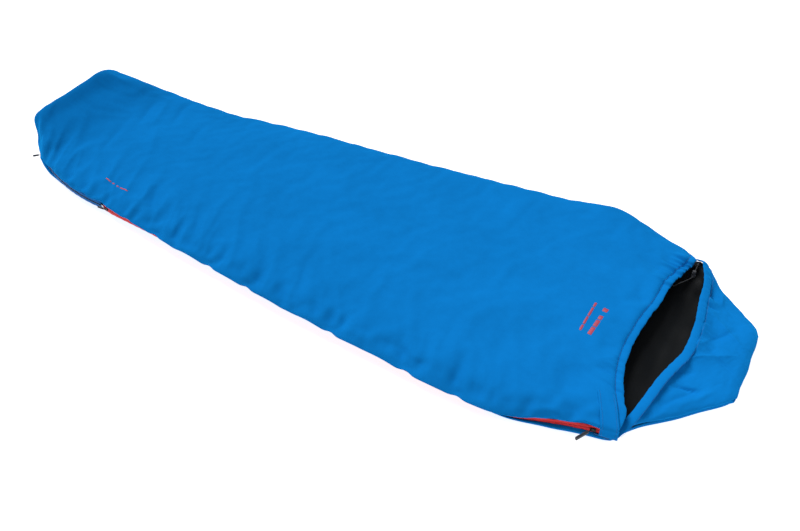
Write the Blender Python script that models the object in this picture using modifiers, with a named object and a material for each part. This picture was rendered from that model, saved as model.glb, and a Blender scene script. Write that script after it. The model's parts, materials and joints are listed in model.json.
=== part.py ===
"""Hooded mummy sleeping bag, lying flat and empty, with its side zip closed.

+X runs from the foot to the crown of the hood, the zipped side is at -Y, and
+Z is up. The origin is on the floor, half way along. The bag is a bottom quilt
and a top quilt, each of an outer shell, an insulation layer and a lining. The
part of the top quilt that the zip frees is a flap, which folds back about a
slanted line from the bottom end of the zip to the far end of the hem.
"""

import math

import bmesh
import bpy
from mathutils import Matrix, Vector

# ---------------------------------------------------------------- dimensions
FOOT_X = -1.100
CROWN_X = 1.100
NECK_X = 0.920          # the hood folds here
CUT = 0.0003            # clearance between touching pieces

# half widths of the far long edge, from the foot to the neck
FAR_EDGE = [
    (-1.100, 0.150), (-1.060, 0.205), (-0.980, 0.246), (-0.850, 0.275),
    (-0.700, 0.290), (-0.300, 0.325), (0.100, 0.363), (0.530, 0.403),
    (0.660, 0.405), (0.790, 0.371), (0.920, 0.324),
]

# the side zip and the foot zip each lie on one true arc, seen from above
SIDE_ZIP_FOOT_END = Vector((-0.700, -0.297))
SIDE_ZIP_HEAD_END = Vector((0.905, -0.342))
SIDE_ZIP_BULGE = 0.064
FOOT_ZIP_END = Vector((-1.083, -0.187))
FOOT_ZIP_BULGE = 0.028

# heights above the floor
FABRIC = 0.0015
FLOOR_TOP = 0.0213      # upper face of the bottom lining
EDGE_TOP = 0.050
CROWN_TOP = 0.080
RIDGE_TOP = 0.156       # the foot end stands up as a ridge
ROOF_EDGE = 0.0362      # underside of the top lining
ROOF_CROWN = 0.053
ROOF_RIDGE = 0.127
FOOT_RISE_START = -0.800

# zip, measured out from its own line
TAPE_HALF = 0.0004
COIL_HALF = 0.0015
WALL_IN = 0.0007
WALL_OUT = 0.0022
WALL_TOP = 0.0210       # the bottom shell ends under the zip
WALL_BOTTOM = 0.0360    # the top shell starts above it
LOWER_TAPE = (0.0030, 0.0247)
LOWER_COIL = (0.0250, 0.0280)
UPPER_COIL = (0.0290, 0.0320)
UPPER_TAPE = (0.0323, 0.0460)
SLIDER_LENGTH = 0.014
SLIDER_LOW = 0.0235
SLIDER_HIGH = 0.0335
SLIDER_GAP = 0.0023     # from the zip line to the inside of each plate
SLIDER_PLATE = 0.0012
PIN_OUT = 0.0063
PIN_RADIUS = 0.0008

# the flap
FLAP_FOOT_X = -0.690
FOLD_FOOT = Vector((-0.750, -0.297))
FOLD_HEAD = Vector((0.905, 0.295))
HEM_SAG = 0.045         # how far the middle of the hem lies back from its ends

# the hood
HOOD_EDGE = [(0.920, 0.320), (0.980, 0.262), (1.047, 0.190), (1.090, 0.125), (1.100, 0.100)]
HOOD_TOP = 0.056
HOOD_ROOF = 0.036
RIM_END_X = 0.941
RIM_SAG = 0.024
RIM_HALF = 0.285

# drawcords and their channels
CHANNEL_RADIUS = 0.0080
CHANNEL_WALL = 0.0012
CHANNEL_GAP = 0.0024    # to the edge it is sewn to
CORD_RADIUS = 0.0011
LOCK_X = 0.9130
LOCK_Y = 0.238
LOCK_RADIUS = 0.0048

BLUE = (0.006, 0.184, 0.590)
BLACK = (0.006, 0.008, 0.010)
WHITE = (0.800, 0.800, 0.780)
RED = (0.500, 0.022, 0.026)
NAVY = (0.006, 0.012, 0.025)
STEEL = (0.100, 0.100, 0.110)


# ------------------------------------------------------------------ helpers
def clear_scene():
    for thing in list(bpy.data.objects):
        bpy.data.objects.remove(thing, do_unlink=True)


def new_collection(name):
    group = bpy.data.collections.new(name)
    bpy.context.scene.collection.children.link(group)
    return group


def paint(thing, color, roughness, metallic=0.0):
    look = bpy.data.materials.new(thing.name + "_material")
    look.use_nodes = True
    shader = look.node_tree.nodes["Principled BSDF"]
    shader.inputs["Base Color"].default_value = (*color, 1.0)
    shader.inputs["Roughness"].default_value = roughness
    shader.inputs["Metallic"].default_value = metallic
    thing.data.materials.append(look)


def finish(name, mesh, group, color, roughness, metallic=0.0):
    thing = bpy.data.objects.new(name, mesh)
    group.objects.link(thing)
    paint(thing, color, roughness, metallic)
    return thing


def smooth_value(points, x):
    """The height at x of a smooth curve through the points."""
    x = min(max(x, points[0][0]), points[-1][0])
    slopes = []
    for i in range(len(points)):
        before = points[max(i - 1, 0)]
        after = points[min(i + 1, len(points) - 1)]
        slopes.append((after[1] - before[1]) / (after[0] - before[0]))
    for i in range(len(points) - 1):
        (x0, y0), (x1, y1) = points[i], points[i + 1]
        if x <= x1:
            break
    span = x1 - x0
    s = (x - x0) / span
    h = 3 * s ** 2 - 2 * s ** 3
    lead = s * (1 - s) ** 2 * slopes[i] - s ** 2 * (1 - s) * slopes[i + 1]
    return y0 + (y1 - y0) * h + span * lead


def arc_through(start, end, bulge):
    """Centre and radius of the arc between two points that stands out by bulge towards -Y."""
    middle = (start + end) / 2
    along = end - start
    if along.x < 0:
        along = -along
    half = along.length / 2
    radius = (half ** 2 + bulge ** 2) / (2 * bulge)
    towards_far = Vector((-along.y, along.x)).normalized()
    return middle + towards_far * (radius - bulge), radius


SIDE_CENTRE, SIDE_RADIUS = arc_through(SIDE_ZIP_FOOT_END, SIDE_ZIP_HEAD_END, SIDE_ZIP_BULGE)
FOOT_CENTRE, FOOT_RADIUS = arc_through(FOOT_ZIP_END, SIDE_ZIP_FOOT_END, FOOT_ZIP_BULGE)


def arc_y(centre, radius, x):
    return centre.y - math.sqrt(radius ** 2 - (x - centre.x) ** 2)


def zip_y(x):
    """The near long edge of the bag, which the zips follow."""
    if x >= SIDE_ZIP_FOOT_END.x:
        return arc_y(SIDE_CENTRE, SIDE_RADIUS, x)
    if x >= FOOT_ZIP_END.x:
        return arc_y(FOOT_CENTRE, FOOT_RADIUS, x)
    corner = (FOOT_ZIP_END.x - x) / (FOOT_ZIP_END.x - FOOT_X)
    return FOOT_ZIP_END.y + 0.030 * corner


def far_y(x):
    return smooth_value(FAR_EDGE, x)


def fold_y(x):
    share = (x - FOLD_FOOT.x) / (FOLD_HEAD.x - FOLD_FOOT.x)
    return FOLD_FOOT.y + (FOLD_HEAD.y - FOLD_FOOT.y) * share


def across(x, y):
    """From 0 on the middle line to 1 on either long edge."""
    near = zip_y(x)
    return min(abs(2 * (y - near) / (far_y(x) - near) - 1), 1.0)


def layered_height(x, y, edge, crown, ridge):
    share = across(x, y)
    rise = max(FOOT_RISE_START - x, 0.0) / (FOOT_RISE_START - FOOT_X)
    arch = (crown - edge) * (1 - share ** 4)
    foot = (ridge - crown) * rise ** 2 * (1 - share ** 8)
    return edge + arch + foot


def top_height(x, y):
    return layered_height(x, y, EDGE_TOP, CROWN_TOP, RIDGE_TOP)


def roof_height(x, y):
    return layered_height(x, y, ROOF_EDGE, ROOF_CROWN, ROOF_RIDGE)


def spaced(start, end, count):
    return [start + (end - start) * i / count for i in range(count + 1)]


FOOT_STATIONS = spaced(FOOT_ZIP_END.x, SIDE_ZIP_FOOT_END.x, 9)
SIDE_STATIONS = [FLAP_FOOT_X] + spaced(-0.600, 0.900, 15)


def layer(name, rows, group, color, roughness):
    """A sheet or pad with a lower and an upper height at each point of a bent grid.

    rows holds rows of (x, y, low, high), all of the same length."""
    last_row = len(rows) - 1
    last_column = len(rows[0]) - 1
    bm = bmesh.new()
    bmesh.ops.create_grid(bm, x_segments=last_column, y_segments=last_row, size=1.0)
    place = bm.verts.layers.int.new("place")
    for vert in bm.verts:
        column = round((vert.co.x + 1) / 2 * last_column)
        row = round((vert.co.y + 1) / 2 * last_row)
        vert[place] = row * (last_column + 1) + column
    points = [point for row in rows for point in row]
    made = bmesh.ops.extrude_face_region(bm, geom=list(bm.faces))
    upper = {part for part in made["geom"] if isinstance(part, bmesh.types.BMVert)}
    for vert in bm.verts:
        x, y, low, high = points[vert[place]]
        vert.co = (x, y, high if vert in upper else low)
    bm.verts.layers.int.remove(place)
    bmesh.ops.recalc_face_normals(bm, faces=list(bm.faces))
    mesh = bpy.data.meshes.new(name)
    bm.to_mesh(mesh)
    bm.free()
    return finish(name, mesh, group, color, roughness)


def strip(name, stations, out, heights, group, color, roughness):
    """A bar along the zip line: out is its two distances from the line, heights its two heights."""
    rows = []
    for x in stations:
        rows.append([(x, zip_y(x) - n, heights[0], heights[1]) for n in out])
    return layer(name, rows, group, color, roughness)


def box(name, size, centre, group):
    bm = bmesh.new()
    bmesh.ops.create_cube(bm, size=1.0)
    bmesh.ops.scale(bm, vec=size, verts=bm.verts)
    bmesh.ops.translate(bm, vec=centre, verts=bm.verts)
    mesh = bpy.data.meshes.new(name)
    bm.to_mesh(mesh)
    bm.free()
    thing = bpy.data.objects.new(name, mesh)
    group.objects.link(thing)
    return thing


def cylinder(name, radius, depth, centre, group, sides=20, axis="Z"):
    bm = bmesh.new()
    bmesh.ops.create_cone(bm, cap_ends=True, segments=sides, radius1=radius, radius2=radius, depth=depth)
    if axis == "Y":
        bmesh.ops.rotate(bm, verts=bm.verts, matrix=Matrix.Rotation(math.pi / 2, 3, "X"))
    bmesh.ops.translate(bm, vec=centre, verts=bm.verts)
    mesh = bpy.data.meshes.new(name)
    bm.to_mesh(mesh)
    bm.free()
    mesh.shade_smooth()
    thing = bpy.data.objects.new(name, mesh)
    group.objects.link(thing)
    return thing


def combine(target, tool, operation):
    """Cut the target with the tool, or join the tool to it. The tool stays as a guide."""
    tool.hide_render = True
    tool.display_type = "WIRE"
    tool.parent = target.parent
    modifier = target.modifiers.new(tool.name, "BOOLEAN")
    modifier.operation = operation
    modifier.object = tool


def plate(name, outlines, thickness, group, color, roughness, metallic=0.0):
    """A flat piece: the first outline is its edge and any others are holes."""
    curve = bpy.data.curves.new(name, "CURVE")
    curve.dimensions = "2D"
    curve.fill_mode = "BOTH"
    curve.extrude = thickness / 2
    for outline in outlines:
        spline = curve.splines.new("POLY")
        spline.points.add(len(outline) - 1)
        for point, (x, y) in zip(spline.points, outline):
            point.co = (x, y, 0.0, 1.0)
        spline.use_cyclic_u = True
    return finish(name, curve, group, color, roughness, metallic)


def cord(name, points, radius, group, color, roughness):
    curve = bpy.data.curves.new(name, "CURVE")
    curve.dimensions = "3D"
    curve.bevel_depth = radius
    curve.bevel_resolution = 2
    curve.use_fill_caps = True
    spline = curve.splines.new("POLY")
    spline.points.add(len(points) - 1)
    for point, place in zip(spline.points, points):
        point.co = (*place, 1.0)
    return finish(name, curve, group, color, roughness)


def channel(name, points, group, color, roughness):
    """An open-ended fabric tube around a drawcord."""
    guide = cord(name, points, CHANNEL_RADIUS, group, color, roughness)
    guide.data.use_fill_caps = False
    shape = guide.evaluated_get(bpy.context.evaluated_depsgraph_get())
    mesh = bpy.data.meshes.new_from_object(shape)
    bpy.data.objects.remove(guide, do_unlink=True)
    thing = bpy.data.objects.new(name, mesh)
    group.objects.link(thing)
    wall = thing.modifiers.new("wall", "SOLIDIFY")
    wall.thickness = CHANNEL_WALL
    wall.offset = -1.0


# ------------------------------------------------------------ bottom quilt
def inner_rows(stations, low, high, inset, columns):
    """Rows of a layer between the tape and the far wall."""
    rows = []
    for x in stations:
        near = zip_y(x)
        far = far_y(x)
        places = [near + inset] + [near + (far - near) * f for f in columns] + [far - FABRIC - CUT]
        rows.append([(x, y, low(x, y), high(x, y)) for y in places])
    return rows


def wall_rows(stations, low, high, near_wall, far_wall, columns):
    """Rows of a shell with a wall along each long edge, standing on or hanging from its sheet.

    near_wall and far_wall each give a wall's (low, high), or None for that edge's own height."""
    rows = []
    for x in stations:
        near = zip_y(x)
        far = far_y(x)
        row = []
        for n in (WALL_OUT, WALL_IN):
            row.append((x, near - n, *near_wall(x)))
        for y in [near - WALL_IN + 0.00002] + [near + (far - near) * f for f in columns]:
            row.append((x, y, low(x, y), high(x, y)))
        inner = far - FABRIC
        row.append((x, inner - 0.00002, low(x, inner), high(x, inner)))
        for y in (inner, far):
            row.append((x, y, *far_wall(x)))
        rows.append(row)
    return rows


def bottom_quilt(group):
    stations = [FOOT_X + 0.0001] + FOOT_STATIONS + SIDE_STATIONS + [NECK_X - CUT]
    shell = wall_rows(
        stations, lambda x, y: 0.0, lambda x, y: FABRIC,
        lambda x: (0.0, WALL_TOP), lambda x: (0.0, FLOOR_TOP), [],
    )
    layer("bottom_shell", shell, group, BLUE, 0.45)
    low = FABRIC + CUT
    high = FLOOR_TOP - FABRIC - CUT
    pad = inner_rows(stations, lambda x, y: low, lambda x, y: high, WALL_IN, [])
    layer("bottom_insulation", pad, group, WHITE, 0.95)
    lining = inner_rows(stations, lambda x, y: high + CUT, lambda x, y: FLOOR_TOP, WALL_IN, [])
    layer("bottom_lining", lining, group, BLACK, 0.60)


# --------------------------------------------------------------- top quilt
COLUMNS = [0.06, 0.22, 0.42, 0.62, 0.80, 0.94]


def fixed_edge(x):
    """The near edge of the top quilt's sewn-down part: the zip line, then the fold line."""
    if x < FLAP_FOOT_X - 0.0004:
        return zip_y(x), True
    return fold_y(x) + CUT, False


def top_quilt(group):
    stations = FOOT_STATIONS + [FLAP_FOOT_X - 0.0006, FLAP_FOOT_X - CUT] + SIDE_STATIONS[1:] + [0.905]
    shell_rows = []
    pad_rows = []
    lining_rows = []
    for x in stations:
        near, at_zip = fixed_edge(x)
        far = far_y(x)
        if at_zip:
            outer = [near - WALL_OUT, near - WALL_IN, near - WALL_IN + 0.00002]
            inner = near + WALL_IN
        else:
            outer = [near, near + 0.0004, near + 0.0008]
            inner = near
        middle = [near + (far - near) * f for f in COLUMNS]
        row = []
        for i, y in enumerate(outer + middle + [far - FABRIC - 0.00002, far - FABRIC, far]):
            high = top_height(x, y)
            low = high - FABRIC
            if at_zip and i < 2:
                low = WALL_BOTTOM
            if y > far - FABRIC - 0.00001:
                low = FLOOR_TOP + CUT
            row.append((x, y, low, high))
        shell_rows.append(row)
        places = [inner] + middle + [far - FABRIC - CUT]
        pad_rows.append([
            (x, y, roof_height(x, y) + FABRIC + CUT, top_height(x, y) - FABRIC - CUT) for y in places
        ])
        lining_rows.append([(x, y, roof_height(x, y), roof_height(x, y) + FABRIC) for y in places])
    layer("top_shell", shell_rows, group, BLUE, 0.45)
    layer("top_insulation", pad_rows, group, WHITE, 0.95)
    layer("top_lining", lining_rows, group, BLACK, 0.60)


def hem_x(share):
    """The flap's head edge, from 0 at the zip to 1 at the fold line."""
    return 0.900 - HEM_SAG * 4 * share * (1 - share)


def flap_point(x, share):
    near = zip_y(x)
    return near + (fold_y(x) - CUT - near) * share


def flap(group):
    shares = [0.0, 0.06, 0.20, 0.35, 0.50, 0.65, 0.80, 1.0]
    straight = [x for x in SIDE_STATIONS if x < 0.75]
    rows = {"shell": [], "pad": [], "lining": []}
    for step in range(len(straight) + 2):
        shell_row = []
        pad_row = []
        lining_row = []
        for share in shares:
            if step < len(straight):
                x = straight[step]
            else:
                part = (step - len(straight) + 1) / 2
                x = straight[-1] + (hem_x(share) - straight[-1]) * part
            y = flap_point(x, share)
            high = top_height(x, y)
            roof = roof_height(x, y)
            if share == 0.0:
                for n in (WALL_OUT, WALL_IN):
                    shell_row.append((x, y - n, WALL_BOTTOM, high))
                shell_row.append((x, y - WALL_IN + 0.00002, high - FABRIC, high))
                y = y + WALL_IN
            else:
                shell_row.append((x, y, high - FABRIC, high))
            pad_row.append((x, y, roof + FABRIC + CUT, high - FABRIC - CUT))
            lining_row.append((x, y, roof, roof + FABRIC))
        rows["shell"].append(shell_row)
        rows["pad"].append(pad_row)
        rows["lining"].append(lining_row)
    layer("flap_shell", rows["shell"], group, BLUE, 0.45)
    layer("flap_insulation", rows["pad"], group, WHITE, 0.95)
    layer("flap_lining", rows["lining"], group, BLACK, 0.60)


# --------------------------------------------------------------- foot end
def foot_end(group):
    low = FLOOR_TOP + CUT
    depths = [("foot_shell", 0.0, FABRIC, BLUE, 0.45)]
    depths.append(("foot_insulation", FABRIC + CUT, 0.0135, WHITE, 0.95))
    depths.append(("foot_lining", 0.0138, 0.0153, BLACK, 0.60))
    outline = [(-0.165, low), (0.165, low), (0.155, 0.090), (0.130, 0.150), (0.110, RIDGE_TOP)]
    outline += [(-0.110, RIDGE_TOP), (-0.130, 0.150), (-0.155, 0.090)]
    for name, start, end, color, roughness in depths:
        if name == "foot_lining":
            outline = [(y * 0.97, min(z, RIDGE_TOP - 0.012)) for y, z in outline]
        panel = plate(name, [outline], end - start, group, color, roughness)
        panel.rotation_euler = (math.pi / 2, 0.0, math.pi / 2)
        panel.location = (FOOT_X + (start + end) / 2, 0.0, 0.0)


# ------------------------------------------------------------------- zips
def zip_pair(prefix, stations, group, color):
    tape = (TAPE_HALF, -TAPE_HALF)
    coil = (COIL_HALF, -COIL_HALF)
    strip(prefix + "lower_zip_tape", stations, tape, LOWER_TAPE, group, color, 0.70)
    strip(prefix + "lower_zip_coil", stations, coil, LOWER_COIL, group, color, 0.35)
    strip(prefix + "upper_zip_coil", stations, coil, UPPER_COIL, group, color, 0.35)
    strip(prefix + "upper_zip_tape", stations, tape, UPPER_TAPE, group, color, 0.70)


def zips(group):
    side = [FLAP_FOOT_X + 0.001] + SIDE_STATIONS[1:-1] + [0.884]
    zip_pair("side_", side, group, RED)
    foot = FOOT_STATIONS[:-1] + [SIDE_ZIP_FOOT_END.x + 0.0005]
    zip_pair("foot_", foot, group, NAVY)
    stop = (0.0018, -0.0018)
    strip("lower_head_stop", [0.8845, 0.8885], stop, (0.0245, 0.0283), group, STEEL, 0.35)
    strip("upper_head_stop", [0.8845, 0.8885], stop, (0.0287, 0.0325), group, STEEL, 0.35)
    strip("bottom_stop", [-0.6985, -0.6895], stop, (0.0245, 0.0325), group, STEEL, 0.35)


def slider_frame(name, centre, radius, x, group):
    """An empty on the arc's own centre, turned so that its -Y axis meets the zip line at x."""
    frame = bpy.data.objects.new(name, None)
    group.objects.link(frame)
    frame.location = (centre.x, centre.y, 0.0)
    frame.rotation_euler = (0.0, 0.0, math.asin((x - centre.x) / radius))
    return frame


def slider(name, frame, radius, group, helpers):
    """Two plates joined by a thin web between the coils, with a pin for the puller outside."""
    middle = (SLIDER_LOW + SLIDER_HIGH) / 2
    height = SLIDER_HIGH - SLIDER_LOW
    plate_y = SLIDER_GAP + SLIDER_PLATE / 2
    size = (SLIDER_LENGTH, SLIDER_PLATE, height)
    body = box(name, size, (0.0, -radius - plate_y, middle), group)
    paint(body, STEEL, 0.35, 0.8)
    body.parent = frame
    inner = box(name + "_inner", size, (0.0, -radius + plate_y, middle), helpers)
    web = box(name + "_web", (SLIDER_LENGTH * 0.6, 2 * plate_y, 0.0004), (0.0, -radius, 0.0285), helpers)
    combine(body, web, "UNION")
    combine(body, inner, "UNION")
    lug_x = -SLIDER_LENGTH / 2 + 0.0018
    lug_y = -radius - 0.0053
    for label, z in (("low", SLIDER_LOW + 0.0008), ("high", SLIDER_HIGH - 0.0008)):
        lug = box(name + "_lug_" + label, (0.0032, 0.0046, 0.0014), (lug_x, lug_y, z), helpers)
        combine(body, lug, "UNION")
    pin_place = (lug_x, -radius - PIN_OUT, middle)
    pin = cylinder(name + "_pin", PIN_RADIUS, height - 0.0016, pin_place, helpers, 12)
    combine(body, pin, "UNION")
    return body


def puller(name, frame, radius, length, turn, group, color):
    """A pull tag on the slider's pin. turn is its angle from straight out, towards the foot."""
    eye = 0.0024
    half = 0.0010
    start = math.asin(half / eye)
    outline = [(eye * math.cos(a), eye * math.sin(a)) for a in spaced(start, 2 * math.pi - start, 14)]
    wide = 0.0016
    outline += [(0.010, -wide), (length - 0.001, -wide), (length, -wide * 0.4)]
    outline += [(length, wide * 0.4), (length - 0.001, wide), (0.010, wide)]
    hole = [(0.0012 * math.cos(a), 0.0012 * math.sin(a)) for a in spaced(0, 2 * math.pi, 12)[:-1]]
    tag = plate(name, [outline, hole], 0.0062, group, color, 0.55)
    tag.parent = frame
    lug_x = -SLIDER_LENGTH / 2 + 0.0018
    tag.location = (lug_x, -radius - PIN_OUT, (SLIDER_LOW + SLIDER_HIGH) / 2)
    tag.rotation_euler = (0.0, 0.0, -math.pi / 2 - turn)
    return tag


def sliders(group, helpers):
    places = [
        ("head", SIDE_CENTRE, SIDE_RADIUS, 0.858, 0.043, 34, NAVY),
        ("side", SIDE_CENTRE, SIDE_RADIUS, -0.672, 0.026, 78, NAVY),
        ("foot", FOOT_CENTRE, FOOT_RADIUS, -1.070, 0.024, 10, NAVY),
    ]
    for label, centre, radius, x, length, turn, color in places:
        frame = slider_frame(label + "_zip_arc", centre, radius, x, group)
        slider(label + "_slider", frame, radius, group, helpers)
        puller(label + "_puller", frame, radius, length, math.radians(turn), group, color)


# ------------------------------------------------------------- garage tab
TAB_START = 0.8578
TAB_END = 0.8990
TAB_REACH = 0.085
TAB_OUT = 0.0052


def garage_tab(group):
    """A fabric tab sewn to the flap and closed over the end of the zip."""
    bm = bmesh.new()
    inboard = [TAB_REACH, 0.060, 0.035, 0.012]
    columns = [TAB_START, (TAB_START + TAB_END) / 2, TAB_END]
    grid = []
    for x in columns:
        near = zip_y(x)
        points = [(x, near + s, top_height(x, near + s) + 0.0012) for s in inboard]
        points += [(x, near - 0.0030, 0.0518), (x, near - TAB_OUT, 0.0480)]
        points += [(x, near - TAB_OUT, 0.0300), (x, near - TAB_OUT, 0.0100)]
        grid.append([bm.verts.new(point) for point in points])
    for first, second in zip(grid, grid[1:]):
        for i in range(len(first) - 1):
            bm.faces.new((first[i], second[i], second[i + 1], first[i + 1]))
    bmesh.ops.recalc_face_normals(bm, faces=list(bm.faces))
    mesh = bpy.data.meshes.new("garage_tab")
    bm.to_mesh(mesh)
    bm.free()
    tab = finish("garage_tab", mesh, group, BLUE, 0.45)
    wall = tab.modifiers.new("thickness", "SOLIDIFY")
    wall.thickness = 0.0008
    wall.offset = 1.0 if mesh.polygons[0].normal.z > 0 else -1.0
    patch = [TAB_START + 0.004, TAB_END - 0.004]
    strip("tab_hook_patch", patch, (0.0033, 0.0025), (0.0110, 0.0195), group, BLACK, 0.90)
    strip("tab_loop_patch", patch, (0.0048, 0.0036), (0.0110, 0.0195), group, BLACK, 0.95)


# --------------------------------------------------- hem channel and cord
def hem_point(share):
    x = hem_x(share)
    y = flap_point(x, share)
    z = (top_height(x, y) + roof_height(x, y)) / 2
    return Vector((x + CHANNEL_RADIUS + CHANNEL_GAP, y, z))


def hem(group):
    route = [hem_point(s) for s in spaced(0.045, 0.84, 20)]
    channel("hem_channel", route, group, BLUE, 0.45)
    end = route[-1]
    tail = [Vector((LOCK_X, y, end.z)) for y in spaced(LOCK_Y - 0.012, LOCK_Y + 0.040, 3)]
    line = [route[0] + (route[1] - route[0]) * 0.2] + route[1:] + tail
    cord("hem_cord", line, CORD_RADIUS, group, BLACK, 0.70)
    cap = cylinder("hem_cord_end", 0.0022, 0.009, (LOCK_X, LOCK_Y + 0.0448, end.z), group, 14, "Y")
    paint(cap, BLACK, 0.40)
    return end


def cord_lock(cord_z, group, helpers):
    """A barrel, and in it a sprung button whose slot the cord passes through."""
    x = LOCK_X
    bottom = cord_z - 0.0085
    top = cord_z + 0.0055
    barrel = cylinder("lock_barrel", LOCK_RADIUS, top - bottom, (x, LOCK_Y, (bottom + top) / 2), group, 20)
    paint(barrel, NAVY, 0.40)
    floor = bottom + 0.0012
    bore = cylinder("lock_bore", 0.0036, 0.020, (x, LOCK_Y, floor + 0.010), helpers, 20)
    combine(barrel, bore, "DIFFERENCE")
    cross = cylinder("lock_cross_hole", 0.0017, 0.014, (x, LOCK_Y, cord_z), helpers, 14, "Y")
    combine(barrel, cross, "DIFFERENCE")
    stem_low = cord_z - 0.0030
    stem_high = top + 0.0045
    stem_middle = (stem_low + stem_high) / 2
    button = cylinder("lock_button", 0.0033, stem_high - stem_low, (x, LOCK_Y, stem_middle), group, 20)
    paint(button, NAVY, 0.40)
    head = cylinder("lock_button_head", 0.0045, 0.0018, (x, LOCK_Y, stem_high), helpers, 20)
    combine(button, head, "UNION")
    slot = box("lock_slot", (0.0034, 0.012, 0.0052), (x, LOCK_Y, cord_z + 0.0012), helpers)
    combine(button, slot, "DIFFERENCE")
    low = floor + 0.0005
    high = stem_low - 0.0004
    turns = 3
    steps = turns * 12
    coil = []
    for i in range(steps + 1):
        angle = 2 * math.pi * turns * i / steps
        rise = low + (high - low) * i / steps
        coil.append((x + 0.0024 * math.cos(angle), LOCK_Y + 0.0024 * math.sin(angle), rise))
    cord("lock_spring", coil, 0.0003, group, STEEL, 0.30)


# ------------------------------------------------------------------- hood
def hood_half(x):
    return smooth_value(HOOD_EDGE, x)


def rim_x(y):
    return RIM_END_X + RIM_SAG * (1 - (y / RIM_HALF) ** 2)


def hood_rows(start, low, high, inset, walls=None):
    """Rows from the neck or the rim to the crown. walls gives the (low, high) of the outer wall."""
    rows = []
    steps = [0.0, 0.25, 0.50, 0.75, 0.93, 1.0]
    shares = [-1.0, -0.90, -0.60, -0.20, 0.20, 0.60, 0.90, 1.0]
    for step in steps:
        row = []
        for share in shares:
            first = start(share)
            x = first + (CROWN_X - inset - first) * step
            y = share * (hood_half(x) - inset)
            heights = (low(x, y), high(x, y))
            row.append((x, y, *heights))
        rows.append(row)
    if walls:
        rows = add_hood_wall(rows, walls)
    return rows


def add_hood_wall(rows, walls):
    """A wall one fabric thick around the sides and the crown of a hood layer."""
    walled = []
    for row in rows:
        left = [(x, y, *walls) for x, y in ((row[0][0], row[0][1] - FABRIC), (row[0][0], row[0][1]))]
        right = [(x, y, *walls) for x, y in ((row[-1][0], row[-1][1]), (row[-1][0], row[-1][1] + FABRIC))]
        inner_left = (row[0][0], row[0][1] + 0.00002, row[0][2], row[0][3])
        inner_right = (row[-1][0], row[-1][1] - 0.00002, row[-1][2], row[-1][3])
        walled.append(left + [inner_left] + row[1:-1] + [inner_right] + right)
    for reach in (0.00002, FABRIC):
        walled.append([(x + reach, y, *walls) for x, y, low, high in walled[-1 if reach < FABRIC else -2]])
    return walled


def hood_arch(x, y, edge, middle):
    side = min(abs(y) / hood_half(x), 1.0)
    end = max((x - 1.0) / (CROWN_X - 1.0), 0.0)
    return edge + (middle - edge) * (1 - side ** 4) * (1 - end ** 3)


def hood(group):
    def neck(share):
        return NECK_X + CUT

    def rim(share):
        return rim_x(share * 0.30)

    inset = FABRIC + CUT
    low = FABRIC + CUT
    high = FLOOR_TOP - FABRIC - CUT
    shell = hood_rows(neck, lambda x, y: 0.0, lambda x, y: FABRIC, FABRIC, (0.0, FLOOR_TOP))
    layer("hood_lower_shell", shell, group, BLUE, 0.45)
    pad = hood_rows(neck, lambda x, y: low, lambda x, y: high, inset)
    layer("hood_lower_insulation", pad, group, WHITE, 0.95)
    lining = hood_rows(neck, lambda x, y: high + CUT, lambda x, y: FLOOR_TOP, inset)
    layer("hood_lower_lining", lining, group, BLACK, 0.60)

    def roof(x, y):
        return hood_arch(x, y, 0.030, HOOD_ROOF)

    def top(x, y):
        return hood_arch(x, y, 0.042, HOOD_TOP)

    wall = (FLOOR_TOP + CUT, 0.042)
    shell = hood_rows(rim, lambda x, y: top(x, y) - FABRIC, top, FABRIC, wall)
    layer("hood_upper_shell", shell, group, BLUE, 0.45)
    pad = hood_rows(
        rim, lambda x, y: roof(x, y) + FABRIC + CUT, lambda x, y: top(x, y) - FABRIC - CUT, inset
    )
    layer("hood_upper_insulation", pad, group, WHITE, 0.95)
    lining = hood_rows(rim, roof, lambda x, y: roof(x, y) + FABRIC, inset)
    layer("hood_upper_lining", lining, group, BLACK, 0.60)

    route = []
    for y in spaced(-RIM_HALF, RIM_HALF, 18):
        x = rim_x(y)
        z = (roof(x, y) + top(x, y)) / 2
        route.append(Vector((x - CHANNEL_RADIUS - CHANNEL_GAP, y, z)))
    channel("hood_channel", route, group, BLUE, 0.45)
    cord("hood_cord", route[1:-1], CORD_RADIUS, group, BLACK, 0.70)


def build():
    clear_scene()
    bag = new_collection("mummy_sleeping_bag")
    helpers = new_collection("helpers")
    bottom_quilt(bag)
    top_quilt(bag)
    flap(bag)
    foot_end(bag)
    zips(bag)
    sliders(bag, helpers)
    garage_tab(bag)
    end = hem(bag)
    cord_lock(end.z, bag, helpers)
    hood(bag)


build()
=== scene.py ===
"""Looks of a hooded mummy sleeping bag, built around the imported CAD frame.

The bag is a base quilt, which runs on into the hood, and a cover quilt over it.
The cover's near part is a flap: a zip frees its edge and it folds back over the
rest. Both quilts are closed padded forms in a blue nylon shell and a black lining.
"""

import json
import math

import bmesh
import bpy
import numpy as np
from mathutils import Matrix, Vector, noise
from mathutils.bvhtree import BVHTree


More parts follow.
